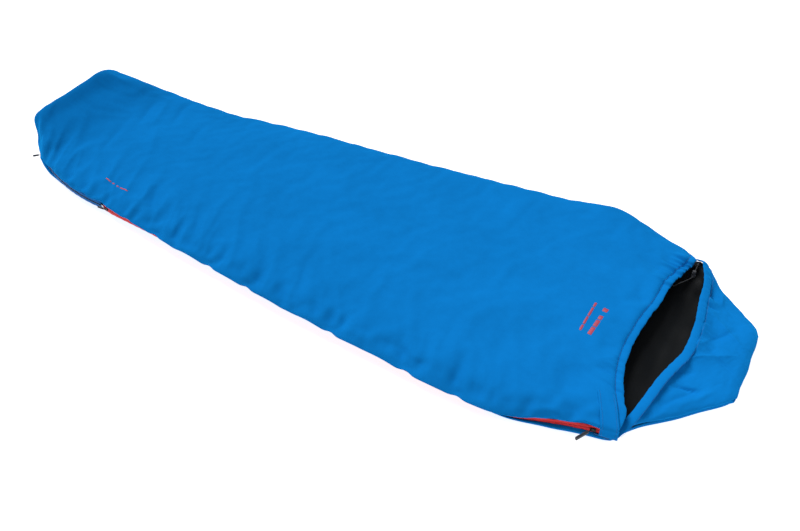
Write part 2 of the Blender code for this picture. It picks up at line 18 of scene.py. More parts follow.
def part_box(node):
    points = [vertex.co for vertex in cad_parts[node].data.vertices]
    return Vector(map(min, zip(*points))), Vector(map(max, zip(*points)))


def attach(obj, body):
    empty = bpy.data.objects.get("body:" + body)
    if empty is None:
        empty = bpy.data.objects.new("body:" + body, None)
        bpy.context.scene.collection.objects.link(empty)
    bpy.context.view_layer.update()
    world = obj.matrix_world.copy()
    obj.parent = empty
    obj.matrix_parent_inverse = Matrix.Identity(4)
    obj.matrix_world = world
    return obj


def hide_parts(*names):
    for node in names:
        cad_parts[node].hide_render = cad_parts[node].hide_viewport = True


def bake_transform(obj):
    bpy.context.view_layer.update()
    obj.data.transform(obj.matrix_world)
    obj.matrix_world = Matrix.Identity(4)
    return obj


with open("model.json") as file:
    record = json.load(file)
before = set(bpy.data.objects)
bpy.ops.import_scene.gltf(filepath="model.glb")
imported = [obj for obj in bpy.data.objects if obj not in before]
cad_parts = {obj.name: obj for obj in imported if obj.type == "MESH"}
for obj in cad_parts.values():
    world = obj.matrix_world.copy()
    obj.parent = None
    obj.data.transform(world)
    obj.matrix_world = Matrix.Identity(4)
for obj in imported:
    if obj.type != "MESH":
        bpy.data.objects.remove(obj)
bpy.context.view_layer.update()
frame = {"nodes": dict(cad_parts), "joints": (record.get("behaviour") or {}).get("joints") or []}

JOINTS = {joint["name"]: joint for joint in frame["joints"]}
NODES = frame["nodes"]

# ------------------------------------------------------------- dimensions
FOOT_X = -1.100
FOOT_ZIP_END = -0.700
ZIP_TOP = 0.905
ZIP_HALF = 0.0105       # from the middle of the zip to the edge of the fabric
COIL_HALF = 0.0030

# the zip's line seen from above, on the near long edge
NEAR_LINE = [
    (-0.700, -0.2970), (-0.640, -0.3075), (-0.500, -0.3195), (-0.360, -0.3335), (-0.180, -0.3530),
    (0.000, -0.3720), (0.200, -0.3860), (0.340, -0.3920), (0.450, -0.4020), (0.540, -0.4045),
    (0.630, -0.4070), (0.680, -0.4000), (0.740, -0.3810), (0.800, -0.3620), (0.858, -0.3480),
    (0.905, -0.3420),
]
# the zip's height, its lean outward in degrees, how far the cover stands out
# above it and how far the base stands out below it
ZIP_SHAPE = [
    (-1.100, 0.0285, 0, 0.011, 0.013), (-1.030, 0.0285, 0, 0.010, 0.011),
    (-0.950, 0.0285, 0, 0.006, 0.002), (-0.850, 0.0285, 0, 0.003, -0.008),
    (-0.700, 0.0285, 0, 0.003, -0.012), (-0.600, 0.0280, 16, 0.004, -0.012),
    (-0.400, 0.0260, 30, 0.009, -0.010), (0.100, 0.0230, 34, 0.010, -0.012),
    (0.340, 0.0160, 34, 0.012, -0.010), (0.500, 0.0150, 32, 0.011, -0.008),
    (0.600, 0.0155, 30, 0.009, -0.005), (0.680, 0.0185, 28, 0.007, 0.001),
    (0.740, 0.0220, 22, 0.005, 0.006), (0.840, 0.0280, 9, 0.003, 0.008),
    (0.880, 0.0285, 4, 0.002, 0.006), (0.905, 0.0285, 0, 0.002, 0.000),
]
FAR_LINE = [
    (-1.100, 0.238), (-1.050, 0.254), (-0.980, 0.280), (-0.920, 0.294), (-0.850, 0.294),
    (-0.760, 0.299), (-0.660, 0.307), (-0.600, 0.316), (-0.500, 0.333), (-0.386, 0.346),
    (-0.229, 0.354), (-0.082, 0.366), (0.049, 0.376), (0.176, 0.391), (0.304, 0.403),
    (0.418, 0.411), (0.513, 0.414), (0.592, 0.426), (0.650, 0.430), (0.695, 0.423),
    (0.734, 0.411), (0.775, 0.395), (0.822, 0.376), (0.905, 0.344),
]
NEAR_SHOULDER = [
    (-1.100, 0.070), (-0.900, 0.060), (-0.600, 0.056), (0.300, 0.056), (0.600, 0.050),
    (0.750, 0.054), (0.905, 0.056),
]
FAR_SHOULDER = [
    (-1.100, 0.122), (-1.050, 0.103), (-0.980, 0.084), (-0.900, 0.074), (-0.600, 0.058),
    (-0.200, 0.060), (0.200, 0.056), (0.418, 0.060), (0.560, 0.070), (0.630, 0.077),
    (0.690, 0.072), (0.760, 0.062), (0.905, 0.055),
]
CROWN = [(-1.100, 0.078), (-0.600, 0.078), (0.000, 0.080), (0.600, 0.081), (0.905, 0.076)]
# the foot end's own outline, as (y, z) at FOOT_X, from the near zip over the ridge
RIDGE = [
    (-0.176, 0.039), (-0.181, 0.052), (-0.170, 0.076), (-0.154, 0.112), (-0.136, 0.136),
    (-0.095, 0.144), (-0.015, 0.150), (0.077, 0.158), (0.128, 0.164), (0.172, 0.157),
    (0.208, 0.135), (0.236, 0.098), (0.246, 0.062), (0.234, 0.024),
]
RISE_START = -0.905
RIDGE_LEAN = 0.022
# the hem's edge, as (y, x)
HEM_EDGE = [
    (-0.340, 0.915), (-0.299, 0.914), (-0.263, 0.897), (-0.198, 0.874), (-0.136, 0.863),
    (-0.069, 0.862), (0.003, 0.867), (0.078, 0.876), (0.150, 0.879), (0.190, 0.886),
    (0.222, 0.892), (0.252, 0.900), (0.279, 0.906), (0.312, 0.908), (0.340, 0.898),
]
HEM_WIDTH = 0.022
COLUMN_SPANS = [3, 3, 3, 7, 20, 24, 22, 22, 14, 7, 5, 4, 2]
COVER_ROWS = 300

# hood
HOOD_NEAR = [
    (0.905, -0.328), (0.920, -0.306), (0.945, -0.272), (0.979, -0.238), (1.013, -0.204),
    (1.047, -0.165), (1.073, -0.137), (1.096, -0.110), (1.110, -0.086),
]
HOOD_FAR = [
    (0.905, 0.340), (0.920, 0.322), (0.953, 0.294), (0.970, 0.280), (1.016, 0.242),
    (1.065, 0.198), (1.100, 0.166), (1.110, 0.146),
]
# the edge of the hood's opening, as (y, x, z)
RIM_EDGE = [
    (-0.342, 0.893, 0.024), (-0.300, 0.908, 0.034), (-0.252, 0.920, 0.044), (-0.201, 0.929, 0.050),
    (-0.150, 0.938, 0.054), (-0.092, 0.953, 0.057), (-0.060, 0.963, 0.060), (-0.015, 0.967, 0.062),
    (0.030, 0.965, 0.062), (0.075, 0.962, 0.063), (0.112, 0.957, 0.062), (0.151, 0.951, 0.062),
    (0.195, 0.947, 0.062), (0.235, 0.941, 0.061), (0.268, 0.931, 0.061), (0.292, 0.922, 0.060),
    (0.306, 0.919, 0.050), (0.318, 0.918, 0.030), (0.330, 0.918, 0.020),
]


# ---------------------------------------------------------------- curves
def curve(points):
    """A smooth function through the points; each point is (x, value, value, ...)."""
    table = np.array(points, float)
    xs = table[:, 0]
    values = table[:, 1:]
    slopes = np.empty_like(values)
    for i in range(len(xs)):
        before = max(i - 1, 0)
        after = min(i + 1, len(xs) - 1)
        slopes[i] = (values[after] - values[before]) / (xs[after] - xs[before])

    def value(x):
        x = np.clip(np.asarray(x, float), xs[0], xs[-1])
        i = np.clip(np.searchsorted(xs, x, side="right") - 1, 0, len(xs) - 2)
        span = (xs[i + 1] - xs[i])[..., None]
        s = (x - xs[i])[..., None] / span
        mix = 3 * s ** 2 - 2 * s ** 3
        lead = s * (1 - s) ** 2 * slopes[i] - s ** 2 * (1 - s) * slopes[i + 1]
        result = values[i] + (values[i + 1] - values[i]) * mix + span * lead
        return result[..., 0] if result.shape[-1] == 1 else result

    return value


near_side = curve(NEAR_LINE)
far_side = curve(FAR_LINE)
zip_shape = curve(ZIP_SHAPE)
near_shoulder = curve(NEAR_SHOULDER)
far_shoulder = curve(FAR_SHOULDER)
crown = curve(CROWN)
hem_edge = curve(HEM_EDGE)
hood_near = curve(HOOD_NEAR)
hood_far = curve(HOOD_FAR)
rim_edge = curve(RIM_EDGE)

FOOT_ARC = Vector(JOINTS["foot_slider_travel"]["pos_m"])
FOOT_RADIUS = math.hypot(-0.700 - FOOT_ARC.x, -0.297 - FOOT_ARC.y)


def zip_y(x):
    x = np.asarray(x, float)
    foot = FOOT_ARC.y - np.sqrt(np.maximum(FOOT_RADIUS ** 2 - (x - FOOT_ARC.x) ** 2, 0.0))
    return np.where(x < FOOT_ZIP_END, foot, near_side(x))


def smooth_step(low, high, x):
    s = np.clip((np.asarray(x, float) - low) / (high - low), 0, 1)
    return s * s * (3 - 2 * s)


def wave(points, scale, seed=0.0):
    """Smooth noise at each point, with features about scale metres across."""
    points = np.asarray(points, float)
    flat = points.reshape(-1, 3) / np.asarray(scale, float) + np.array([seed, seed * 0.7, seed * 1.3])
    return np.array([noise.noise(Vector(p)) for p in flat]).reshape(points.shape[:-1])


def resample(control, spans):
    """Points along the smooth curve through the control points, spans[i] steps in each stretch."""
    control = np.asarray(control, float)
    steps = np.linalg.norm(np.diff(control, axis=0), axis=1)
    at = np.concatenate([[0], np.cumsum(np.sqrt(steps))])
    line = curve([(a, *p) for a, p in zip(at, control)])
    places = [at[0]]
    for i, count in enumerate(spans):
        places += [at[i] + (at[i + 1] - at[i]) * k / count for k in range(1, count + 1)]
    return line(np.array(places))


# ------------------------------------------------------------ mesh making
def make(name, points, faces, materials, slots=None, smooth=True):
    mesh = bpy.data.meshes.new(name)
    mesh.from_pydata([tuple(p) for p in np.asarray(points, float).reshape(-1, 3)], [], faces)
    mesh.validate()
    for look in materials:
        mesh.materials.append(look)
    if slots is not None:
        mesh.polygons.foreach_set("material_index", np.asarray(slots, np.int32))
    if smooth:
        mesh.shade_smooth()
    mesh.update()
    thing = bpy.data.objects.new(name, mesh)
    bpy.context.scene.collection.objects.link(thing)
    return thing


def outward(thing):
    bm = bmesh.new()
    bm.from_mesh(thing.data)
    bmesh.ops.remove_doubles(bm, verts=bm.verts, dist=0.00002)
    bmesh.ops.recalc_face_normals(bm, faces=bm.faces)
    bm.to_mesh(thing.data)
    bm.free()
    thing.data.update()


def grid_faces(rows, columns, first=0, loop_rows=False, loop_columns=False):
    faces = []
    for r in range(rows if loop_rows else rows - 1):
        for c in range(columns if loop_columns else columns - 1):
            a = first + r * columns + c
            b = first + r * columns + (c + 1) % columns
            below = first + ((r + 1) % rows) * columns
            faces.append((a, b, below + (c + 1) % columns, below + c))
    return faces


def mark_cloth(thing, places):
    """Keeps each vertex's place on the flat cloth, in metres, for the weave."""
    layer = thing.data.attributes.new("cloth", "FLOAT_VECTOR", "POINT")
    flat = np.zeros((len(thing.data.vertices), 3), np.float32)
    places = np.asarray(places, float).reshape(len(flat), -1)
    flat[:, :places.shape[1]] = places
    layer.data.foreach_set("vector", flat.ravel())


def grid_normals(points):
    """Unit normals of a grid of points, on the side that faces up."""
    along = np.gradient(points, axis=0)
    across = np.gradient(points, axis=1)
    normals = np.cross(along, across)
    normals /= np.maximum(np.linalg.norm(normals, axis=2, keepdims=True), 1e-9)
    return normals


def subdivide(thing, levels=1):
    modifier = thing.modifiers.new("smooth", "SUBSURF")
    modifier.levels = levels
    modifier.render_levels = levels


def sweep(path, outlines, closed_path=False):
    """Points of a tube: outlines[i] holds (side, up) offsets at path[i]. Up is +Z turned square to the path."""
    path = np.asarray(path, float)
    tangents = np.gradient(path, axis=0)
    tangents /= np.linalg.norm(tangents, axis=1, keepdims=True)
    up = np.array([0.0, 0.0, 1.0])
    side = np.cross(tangents, up)
    side /= np.maximum(np.linalg.norm(side, axis=1, keepdims=True), 1e-9)
    lift = np.cross(side, tangents)
    outlines = np.asarray(outlines, float)
    return path[:, None] + outlines[..., :1] * side[:, None] + outlines[..., 1:] * lift[:, None]


def tube(name, path, outlines, materials):
    points = sweep(path, outlines)
    rows, columns = points.shape[:2]
    faces = grid_faces(rows, columns, loop_columns=True)
    faces.append(tuple(range(columns))[::-1])
    faces.append(tuple(range((rows - 1) * columns, rows * columns)))
    thing = make(name, points, faces, materials)
    outward(thing)
    return thing


# --------------------------------------------------------------- materials
def new_material(name, color, roughness, **sockets):
    look = bpy.data.materials.new(name)
    look.use_nodes = True
    shader = look.node_tree.nodes["Principled BSDF"]
    shader.inputs["Base Color"].default_value = (*color, 1.0)
    shader.inputs["Roughness"].default_value = roughness
    for socket, value in sockets.items():
        shader.inputs[socket.replace("_", " ")].default_value = value
    return look


def link(look, source, target):
    look.node_tree.links.new(source, target)


def node(look, kind, **values):
    made = look.node_tree.nodes.new(kind)
    for name, value in values.items():
        setattr(made, name, value)
    return made


def noise_of(look, vector, scale, detail=2.0):
    texture = node(look, "ShaderNodeTexNoise")
    texture.inputs["Scale"].default_value = scale
    texture.inputs["Detail"].default_value = detail
    link(look, vector, texture.inputs["Vector"])
    return texture.outputs["Fac"]


def ranged(look, value, low, high, start=0.3, end=0.7):
    spread = node(look, "ShaderNodeMapRange")
    spread.inputs["From Min"].default_value = start
    spread.inputs["From Max"].default_value = end
    spread.inputs["To Min"].default_value = low
    spread.inputs["To Max"].default_value = high
    link(look, value, spread.inputs["Value"])
    return spread.outputs["Result"]


def bands(look, vector, direction, scale):
    texture = node(look, "ShaderNodeTexWave", wave_type="BANDS", bands_direction=direction)
    texture.inputs["Scale"].default_value = scale
    texture.inputs["Distortion"].default_value = 0.0
    link(look, vector, texture.inputs["Vector"])
    return texture.outputs["Fac"]


def math_node(look, operation, first, second):
    made = node(look, "ShaderNodeMath", operation=operation)
    for socket, value in zip(made.inputs, (first, second)):
        if isinstance(value, (int, float)):
            socket.default_value = value
        else:
            link(look, value, socket)
    return made.outputs["Value"]


def tone(look, color, shade, amount):
    """The colour, made lighter and darker by a value between 0 and 1."""
    mixed = node(look, "ShaderNodeMix", data_type="RGBA")
    mixed.inputs["A"].default_value = (*[c * (1 - amount) for c in color], 1.0)
    mixed.inputs["B"].default_value = (*[min(c * (1 + amount), 1.0) for c in color], 1.0)
    link(look, shade, mixed.inputs["Factor"])
    shader = look.node_tree.nodes["Principled BSDF"]
    link(look, mixed.outputs["Result"], shader.inputs["Base Color"])


def bump(look, height, distance, strength):
    raised = node(look, "ShaderNodeBump")
    raised.inputs["Distance"].default_value = distance
    raised.inputs["Strength"].default_value = strength
    link(look, height, raised.inputs["Height"])
    link(look, raised.outputs["Normal"], look.node_tree.nodes["Principled BSDF"].inputs["Normal"])


def woven(name, color, roughness, pitch=0.0009, variation=0.06, strength=0.25, cloth=True, **sockets):
    """A plain-weave fabric: warp and weft, small creases, and uneven colour."""
    look = new_material(name, color, roughness, **sockets)
    if cloth:
        place = node(look, "ShaderNodeAttribute", attribute_name="cloth").outputs["Vector"]
    else:
        place = node(look, "ShaderNodeTexCoord").outputs["Object"]
    scale = 1.0 / pitch / 20.0 * 2 * math.pi * 0.5
    warp = bands(look, place, "X", scale)
    weft = bands(look, place, "Y", scale)
    weave = math_node(look, "MULTIPLY", warp, weft)
    broad = noise_of(look, place, 6.0, 4.0)
    fine = noise_of(look, place, 55.0, 4.0)
    shade = math_node(look, "ADD", math_node(look, "MULTIPLY", broad, 0.7), math_node(look, "MULTIPLY", fine, 0.3))
    tone(look, color, ranged(look, shade, 0.0, 1.0, 0.35, 0.65), variation)
    rough = ranged(look, fine, roughness - 0.05, roughness + 0.06)
    link(look, rough, look.node_tree.nodes["Principled BSDF"].inputs["Roughness"])
    crease = noise_of(look, place, 90.0, 3.0)
    height = math_node(look, "ADD", math_node(look, "MULTIPLY", weave, 0.15), math_node(look, "MULTIPLY", crease, 1.6))
    bump(look, height, 0.0010, strength)
    return look


def solid(name, color, roughness, grain=900.0, variation=0.08, strength=0.12, **sockets):
    """A moulded, cast or braided surface with a fine grain."""
    look = new_material(name, color, roughness, **sockets)
    place = node(look, "ShaderNodeTexCoord").outputs["Object"]
    fine = noise_of(look, place, grain, 3.0)
    broad = noise_of(look, place, grain / 12, 2.0)
    tone(look, color, ranged(look, broad, 0.0, 1.0), variation)
    rough = ranged(look, fine, roughness - 0.06, roughness + 0.08)
    link(look, rough, look.node_tree.nodes["Principled BSDF"].inputs["Roughness"])
    bump(look, fine, 0.0002, strength)
    return look


BLUE = (0.0034, 0.166, 0.502)
TINT = (0.02, 0.50, 1.0, 1.0)
BLUE_LOOK = woven(
    "shell_nylon", BLUE, 0.50, Specular_IOR_Level=0.0, Specular_Tint=TINT, Sheen_Weight=0.30,
    Sheen_Tint=TINT, Sheen_Roughness=0.4,
)
TRIM_LOOK = woven(
    "channel_nylon", BLUE, 0.54, pitch=0.0010, Specular_IOR_Level=0.0, Specular_Tint=TINT,
    Sheen_Weight=0.30, Sheen_Tint=TINT, Sheen_Roughness=0.4,
)
LINING_LOOK = woven(
    "lining_taffeta", (0.0030, 0.0040, 0.0050), 0.62, variation=0.25, Specular_IOR_Level=0.10,
)
RED_TAPE_LOOK = woven(
    "red_zip_tape", (0.600, 0.022, 0.026), 0.62, pitch=0.0011, cloth=False, Specular_IOR_Level=0.20,
)
RED_COIL_LOOK = solid("red_zip_coil", (0.520, 0.018, 0.022), 0.40, Specular_IOR_Level=0.30)
NAVY_TAPE_LOOK = woven(
    "dark_zip_tape", (0.001, 0.115, 0.380), 0.70, pitch=0.0011, cloth=False, Specular_IOR_Level=0.15,
)
NAVY_COIL_LOOK = solid("dark_zip_coil", (0.002, 0.010, 0.026), 0.42, Specular_IOR_Level=0.30)
METAL_LOOK = solid("slider_metal", (0.030, 0.031, 0.034), 0.38, grain=1400.0, Metallic=0.85)
BRIGHT_METAL_LOOK = solid("stop_metal", (0.50, 0.51, 0.53), 0.28, grain=1400.0, Metallic=1.0)
TAG_LOOK = solid("puller_rubber", (0.006, 0.010, 0.018), 0.52, grain=700.0)
CORD_LOOK = woven("drawcord_braid", (0.010, 0.012, 0.016), 0.72, pitch=0.0013, cloth=False, strength=0.6)
PLASTIC_LOOK = solid("lock_plastic", (0.035, 0.038, 0.044), 0.42)
SPRING_LOOK = solid("spring_steel", (0.42, 0.42, 0.44), 0.25, Metallic=1.0)
HOOK_LOOK = solid("hook_and_loop", (0.001, 0.080, 0.270), 0.95, grain=1800.0, strength=0.9)
THREAD_LOOK = solid("blue_thread", (0.003, 0.095, 0.330), 0.55, grain=2500.0)
DARK_THREAD_LOOK = solid("dark_thread", (0.004, 0.030, 0.110), 0.60, grain=2500.0)
MARK_LOOK = woven("red_mark_thread", (0.400, 0.045, 0.085), 0.55, pitch=0.0008, cloth=False)


# ------------------------------------------------------------ cover section
def zip_frame(x):
    """The zip's middle at x, its direction up the tape, and the way that it faces, as (y, z)."""
    height, lean = (float(v) for v in zip_shape(x)[:2])
    tilt = math.radians(lean)
    middle = np.array([float(zip_y(x)), height])
    up_tape = np.array([-math.sin(tilt), math.cos(tilt)])
    facing = np.array([-math.cos(tilt), -math.sin(tilt)])
    return middle, up_tape, facing


def cover_controls(x):
    """The cover's outer outline at x, as (y, z), from the near zip to the far seam."""
    middle, up_tape, _ = zip_frame(x)
    overhang = float(zip_shape(x)[2])
    start = middle + up_tape * ZIP_HALF
    near = float(zip_y(x))
    far = float(far_side(x))
    low = float(near_shoulder(x))
    high = float(far_shoulder(x))
    top = float(crown(x))
    points = [start]
    points.append([min(start[0], near) - overhang, start[1] + 0.30 * (low - start[1])])
    points.append([near - overhang * 0.7, start[1] + 0.66 * (low - start[1])])
    points.append([near + 0.010, low])
    points.append([near + 0.045, low + 0.45 * (top - low)])
    for share in (0.22, 0.42, 0.62, 0.82):
        y = near + (far - near) * share
        edge = low + (high - low) * share
        points.append([y, edge + (top - edge) * (1 - abs(2 * share - 1) ** 2.6)])
    points.append([far - 0.062, high + 0.30 * (top - high) + 0.004])
    points.append([far - 0.030, high + 0.002])
    points.append([far - 0.007, 0.66 * high + 0.006])
    points.append([far, 0.033])
    points.append([far - 0.004, 0.0235])
    points = np.array(points)
    rise = max(RISE_START - x, 0.0) / (RISE_START - FOOT_X)
    weight = min(rise / 0.93, 1.0) ** 2.1
    ridge = np.array(RIDGE)
    near_end = float(zip_y(FOOT_X))
    far_end = float(far_side(FOOT_X))
    share = np.clip((ridge[:, 0] - near_end) / (far_end - near_end), 0, 1)
    ridge[:, 0] += (1 - share) * (near - near_end) + share * (far - far_end)
    mixed = points * (1 - weight) + ridge * weight
    mixed[0] = start
    return mixed


INSET = np.array([
    (0.003, -0.0005), (0.009, -0.001), (0.013, -0.006), (0.011, -0.012), (0.004, -0.018),
    (0.0, -0.020), (0.0, -0.021), (0.0, -0.021), (0.0, -0.020), (-0.004, -0.018),
    (-0.011, -0.012), (-0.015, -0.006), (-0.011, -0.001), (-0.003, 0.001),
])


def cover_rows():
    """Rows of the cover's outer sheet and of its lining, from the foot to the hem seam."""
    columns = sum(COLUMN_SPANS) + 1
    last_x = 0.905
    outer = np.zeros((COVER_ROWS, columns, 3))
    inner = np.zeros((COVER_ROWS, columns, 3))
    table_x = np.linspace(FOOT_X, last_x, 320)
    outer_table = np.array([resample(cover_controls(x), COLUMN_SPANS) for x in table_x])
    inner_table = np.array([resample(cover_controls(x) + INSET, COLUMN_SPANS) for x in table_x])
    hem = hem_edge(outer_table[-1, :, 0]) - HEM_WIDTH
    for row, share in enumerate(np.linspace(0, 1, COVER_ROWS)):
        straight = FOOT_X + (last_x - FOOT_X) * share
        xs = straight - (last_x - hem) * smooth_step(0.62, 1.0, share)
        place = (xs - FOOT_X) / (last_x - FOOT_X) * (len(table_x) - 1)
        i = np.clip(place.astype(int), 0, len(table_x) - 2)
        f = (place - i)[:, None]
        column = np.arange(columns)
        for rows, table in ((outer, outer_table), (inner, inner_table)):
            rows[row, :, 0] = xs
            rows[row, :, 1:] = table[i, column] * (1 - f) + table[i + 1, column] * f
            height = smooth_step(0.070, 0.130, rows[row, :, 2])
            rows[row, :, 0] -= RIDGE_LEAN * height * smooth_step(-0.98, FOOT_X, xs)
    return outer, inner


def crease(x, y, start, end, width):
    """A sharp fold along a line from start to end, 1 on the line and fading to each side."""
    start = np.array(start)
    line = np.array(end) - start
    share = ((x - start[0]) * line[0] + (y - start[1]) * line[1]) / line.dot(line)
    held = np.clip(share, 0, 1)
    away = np.hypot(x - start[0] - held * line[0], y - start[1] - held * line[1])
    fade = np.sin(np.pi * np.clip(share * 0.8 + 0.1, 0, 1))
    return np.exp(-np.sqrt(away ** 2 + (0.22 * width) ** 2) / width) * fade


# start and end of each fold in the cover, its height (or depth) and its half width
COVER_CREASES = [
    ((-0.560, -0.262), (-0.620, -0.150), 0.0060, 0.010), ((-0.525, -0.262), (-0.575, -0.185), -0.0055, 0.009),
    ((-0.400, -0.300), (-0.450, -0.215), 0.0050, 0.010), ((-0.330, -0.300), (-0.395, -0.190), -0.0045, 0.011),
    ((-0.865, -0.120), (-0.910, 0.010), -0.0050, 0.012), ((-0.880, 0.060), (-0.930, 0.180), -0.0060, 0.012),
    ((-0.835, 0.080), (-0.890, 0.200), 0.0050, 0.012), ((-0.780, 0.110), (-0.830, 0.220), -0.0050, 0.012),
    ((-0.720, -0.060), (-0.800, 0.060), 0.0035, 0.016), ((-0.640, 0.030), (-0.690, 0.160), -0.0035, 0.016),
    ((-0.120, -0.290), (-0.170, -0.210), 0.0040, 0.010), ((0.050, -0.320), (0.010, -0.240), -0.0040, 0.010),
    ((0.720, -0.330), (0.640, -0.300), -0.0035, 0.009), ((0.690, -0.300), (0.600, -0.260), 0.0030, 0.012),
    ((0.835, 0.205), (0.770, 0.230), -0.0045, 0.009), ((0.842, 0.160), (0.785, 0.172), 0.0040, 0.009),
    ((0.835, 0.235), (0.800, 0.262), 0.0045, 0.008), ((0.850, -0.150), (0.800, -0.190), 0.0030, 0.010),
]


# pleats behind the hem's far end, as (y, depth)
HEM_PLEATS = [
    (0.128, 0.0035), (0.152, 0.0060), (0.176, 0.0050), (0.197, 0.0075), (0.218, 0.0060), (0.238, 0.0080),
    (0.257, 0.0065), (0.276, 0.0075), (-0.180, 0.0030), (-0.215, 0.0040), (-0.250, 0.0035),
]


def wrinkle(outer):
    """Adds the soft hollows, creases and puckers of fabric over a flat filling."""
    normals = grid_normals(outer)
    x = outer[..., 0]
    y = outer[..., 1]
    near = zip_y(x)
    far = far_side(x)
    from_near = y - near
    from_far = far - y
    inside = smooth_step(0.0, 0.05, from_near) * smooth_step(0.0, 0.05, from_far)
    move = 0.0045 * wave(outer, (0.42, 0.20, 1.0), 3.1) * inside
    move += 0.0024 * wave(outer, (0.16, 0.085, 1.0), 8.4) * inside
    # creases that run across the bag from the near seam, strongest towards the foot
    slanted = outer.copy()
    slanted[..., 0] = x + 0.45 * (y - near)
    fold = np.exp(-(wave(slanted, (0.085, 0.30, 1.0), 15.2) / 0.20) ** 2)
    foot_side = 1 - smooth_step(-0.45, 0.15, x)
    reach = smooth_step(0.0, 0.03, from_near) * (1 - smooth_step(0.08, 0.26, from_near))
    move += 0.0036 * (fold - 0.5) * reach * (0.30 + 0.70 * foot_side)
    finer = np.exp(-(wave(slanted, (0.040, 0.16, 1.0), 41.9) / 0.20) ** 2)
    reach = smooth_step(0.0, 0.02, from_near) * (1 - smooth_step(0.05, 0.16, from_near))
    move += 0.0028 * (finer - 0.5) * reach * (0.45 + 0.55 * foot_side)
    for (x0, y0), (x1, y1), height, width in COVER_CREASES:
        move += height * crease(x, y, (x0, y0), (x1, y1), width)
    # puckers where the shell is gathered on to the zip tape
    pucker = wave(outer, (0.036, 0.20, 0.20), 21.7) + 0.7 * wave(outer, (0.020, 0.10, 0.1), 2.9)
    band = smooth_step(-0.006, 0.006, from_near) * (1 - smooth_step(0.012, 0.050, from_near))
    move += 0.0048 * pucker * band
    pucker = wave(outer, (0.050, 0.20, 0.20), 31.0)
    band = (1 - smooth_step(0.010, 0.075, from_far)) * smooth_step(0.0, 0.012, from_far)
    move += 0.0014 * pucker * band
    # gathers behind the hem's drawcord, deepest at its far end
    hem_gap = hem_edge(y) - HEM_WIDTH - x
    gather = wave(outer, (0.30, 0.024, 1.0), 5.5) + 0.8 * wave(outer, (0.20, 0.012, 1.0), 12.0)
    ends = 0.45 + 1.10 * smooth_step(0.06, 0.24, y) + 0.35 * (1 - smooth_step(-0.25, -0.1, y))
    move += 0.0056 * gather * (1 - smooth_step(0.0, 0.060, hem_gap)) * ends
    for pleat, depth in HEM_PLEATS:
        fold_line = y - pleat - 0.20 * hem_gap
        move -= depth * np.exp(-(fold_line / 0.0042) ** 2) * (1 - smooth_step(0.012, 0.060, hem_gap))
        move += 0.5 * depth * np.exp(-((fold_line - 0.008) / 0.0050) ** 2) * (1 - smooth_step(0.012, 0.045, hem_gap))
    move -= 0.0042 * np.exp(-(hem_gap / 0.004) ** 2)
    # a round hollow beside the tab
    hollow = np.exp(-(((x - 0.775) / 0.042) ** 2 + ((y + 0.265) / 0.040) ** 2) ** 1.6)
    move -= 0.0065 * hollow
    # the piped seam along the foot's ridge
    from_foot = x - FOOT_X + RIDGE_LEAN * smooth_step(0.070, 0.130, outer[..., 2])
    high = smooth_step(0.040, 0.075, outer[..., 2])
    move += (0.0035 * np.exp(-(from_foot / 0.008) ** 2) - 0.0010 * np.exp(-((from_foot - 0.018) / 0.008) ** 2)) * high
    # the far shoulder's inset line
    inset = np.exp(-((from_far - 0.026) / 0.006) ** 2) * smooth_step(0.56, 0.64, x)
    move -= 0.0050 * inset * (1 - smooth_step(0.80, 0.90, x))
    return outer + normals * move[..., None]


def spread(values, places, count, axis):
    """Values given at some places along an axis, smoothly filled in at all count of them."""
    values = np.moveaxis(values, axis, 0)
    flat = values.reshape(len(places), -1)
    filled = np.stack([np.interp(np.arange(count), places, column) for column in flat.T], axis=1)
    for _ in range(2):
        filled[1:-1] = (filled[:-2] + 2 * filled[1:-1] + filled[2:]) / 4
    return np.moveaxis(filled.reshape((count,) + values.shape[1:]), 0, axis)


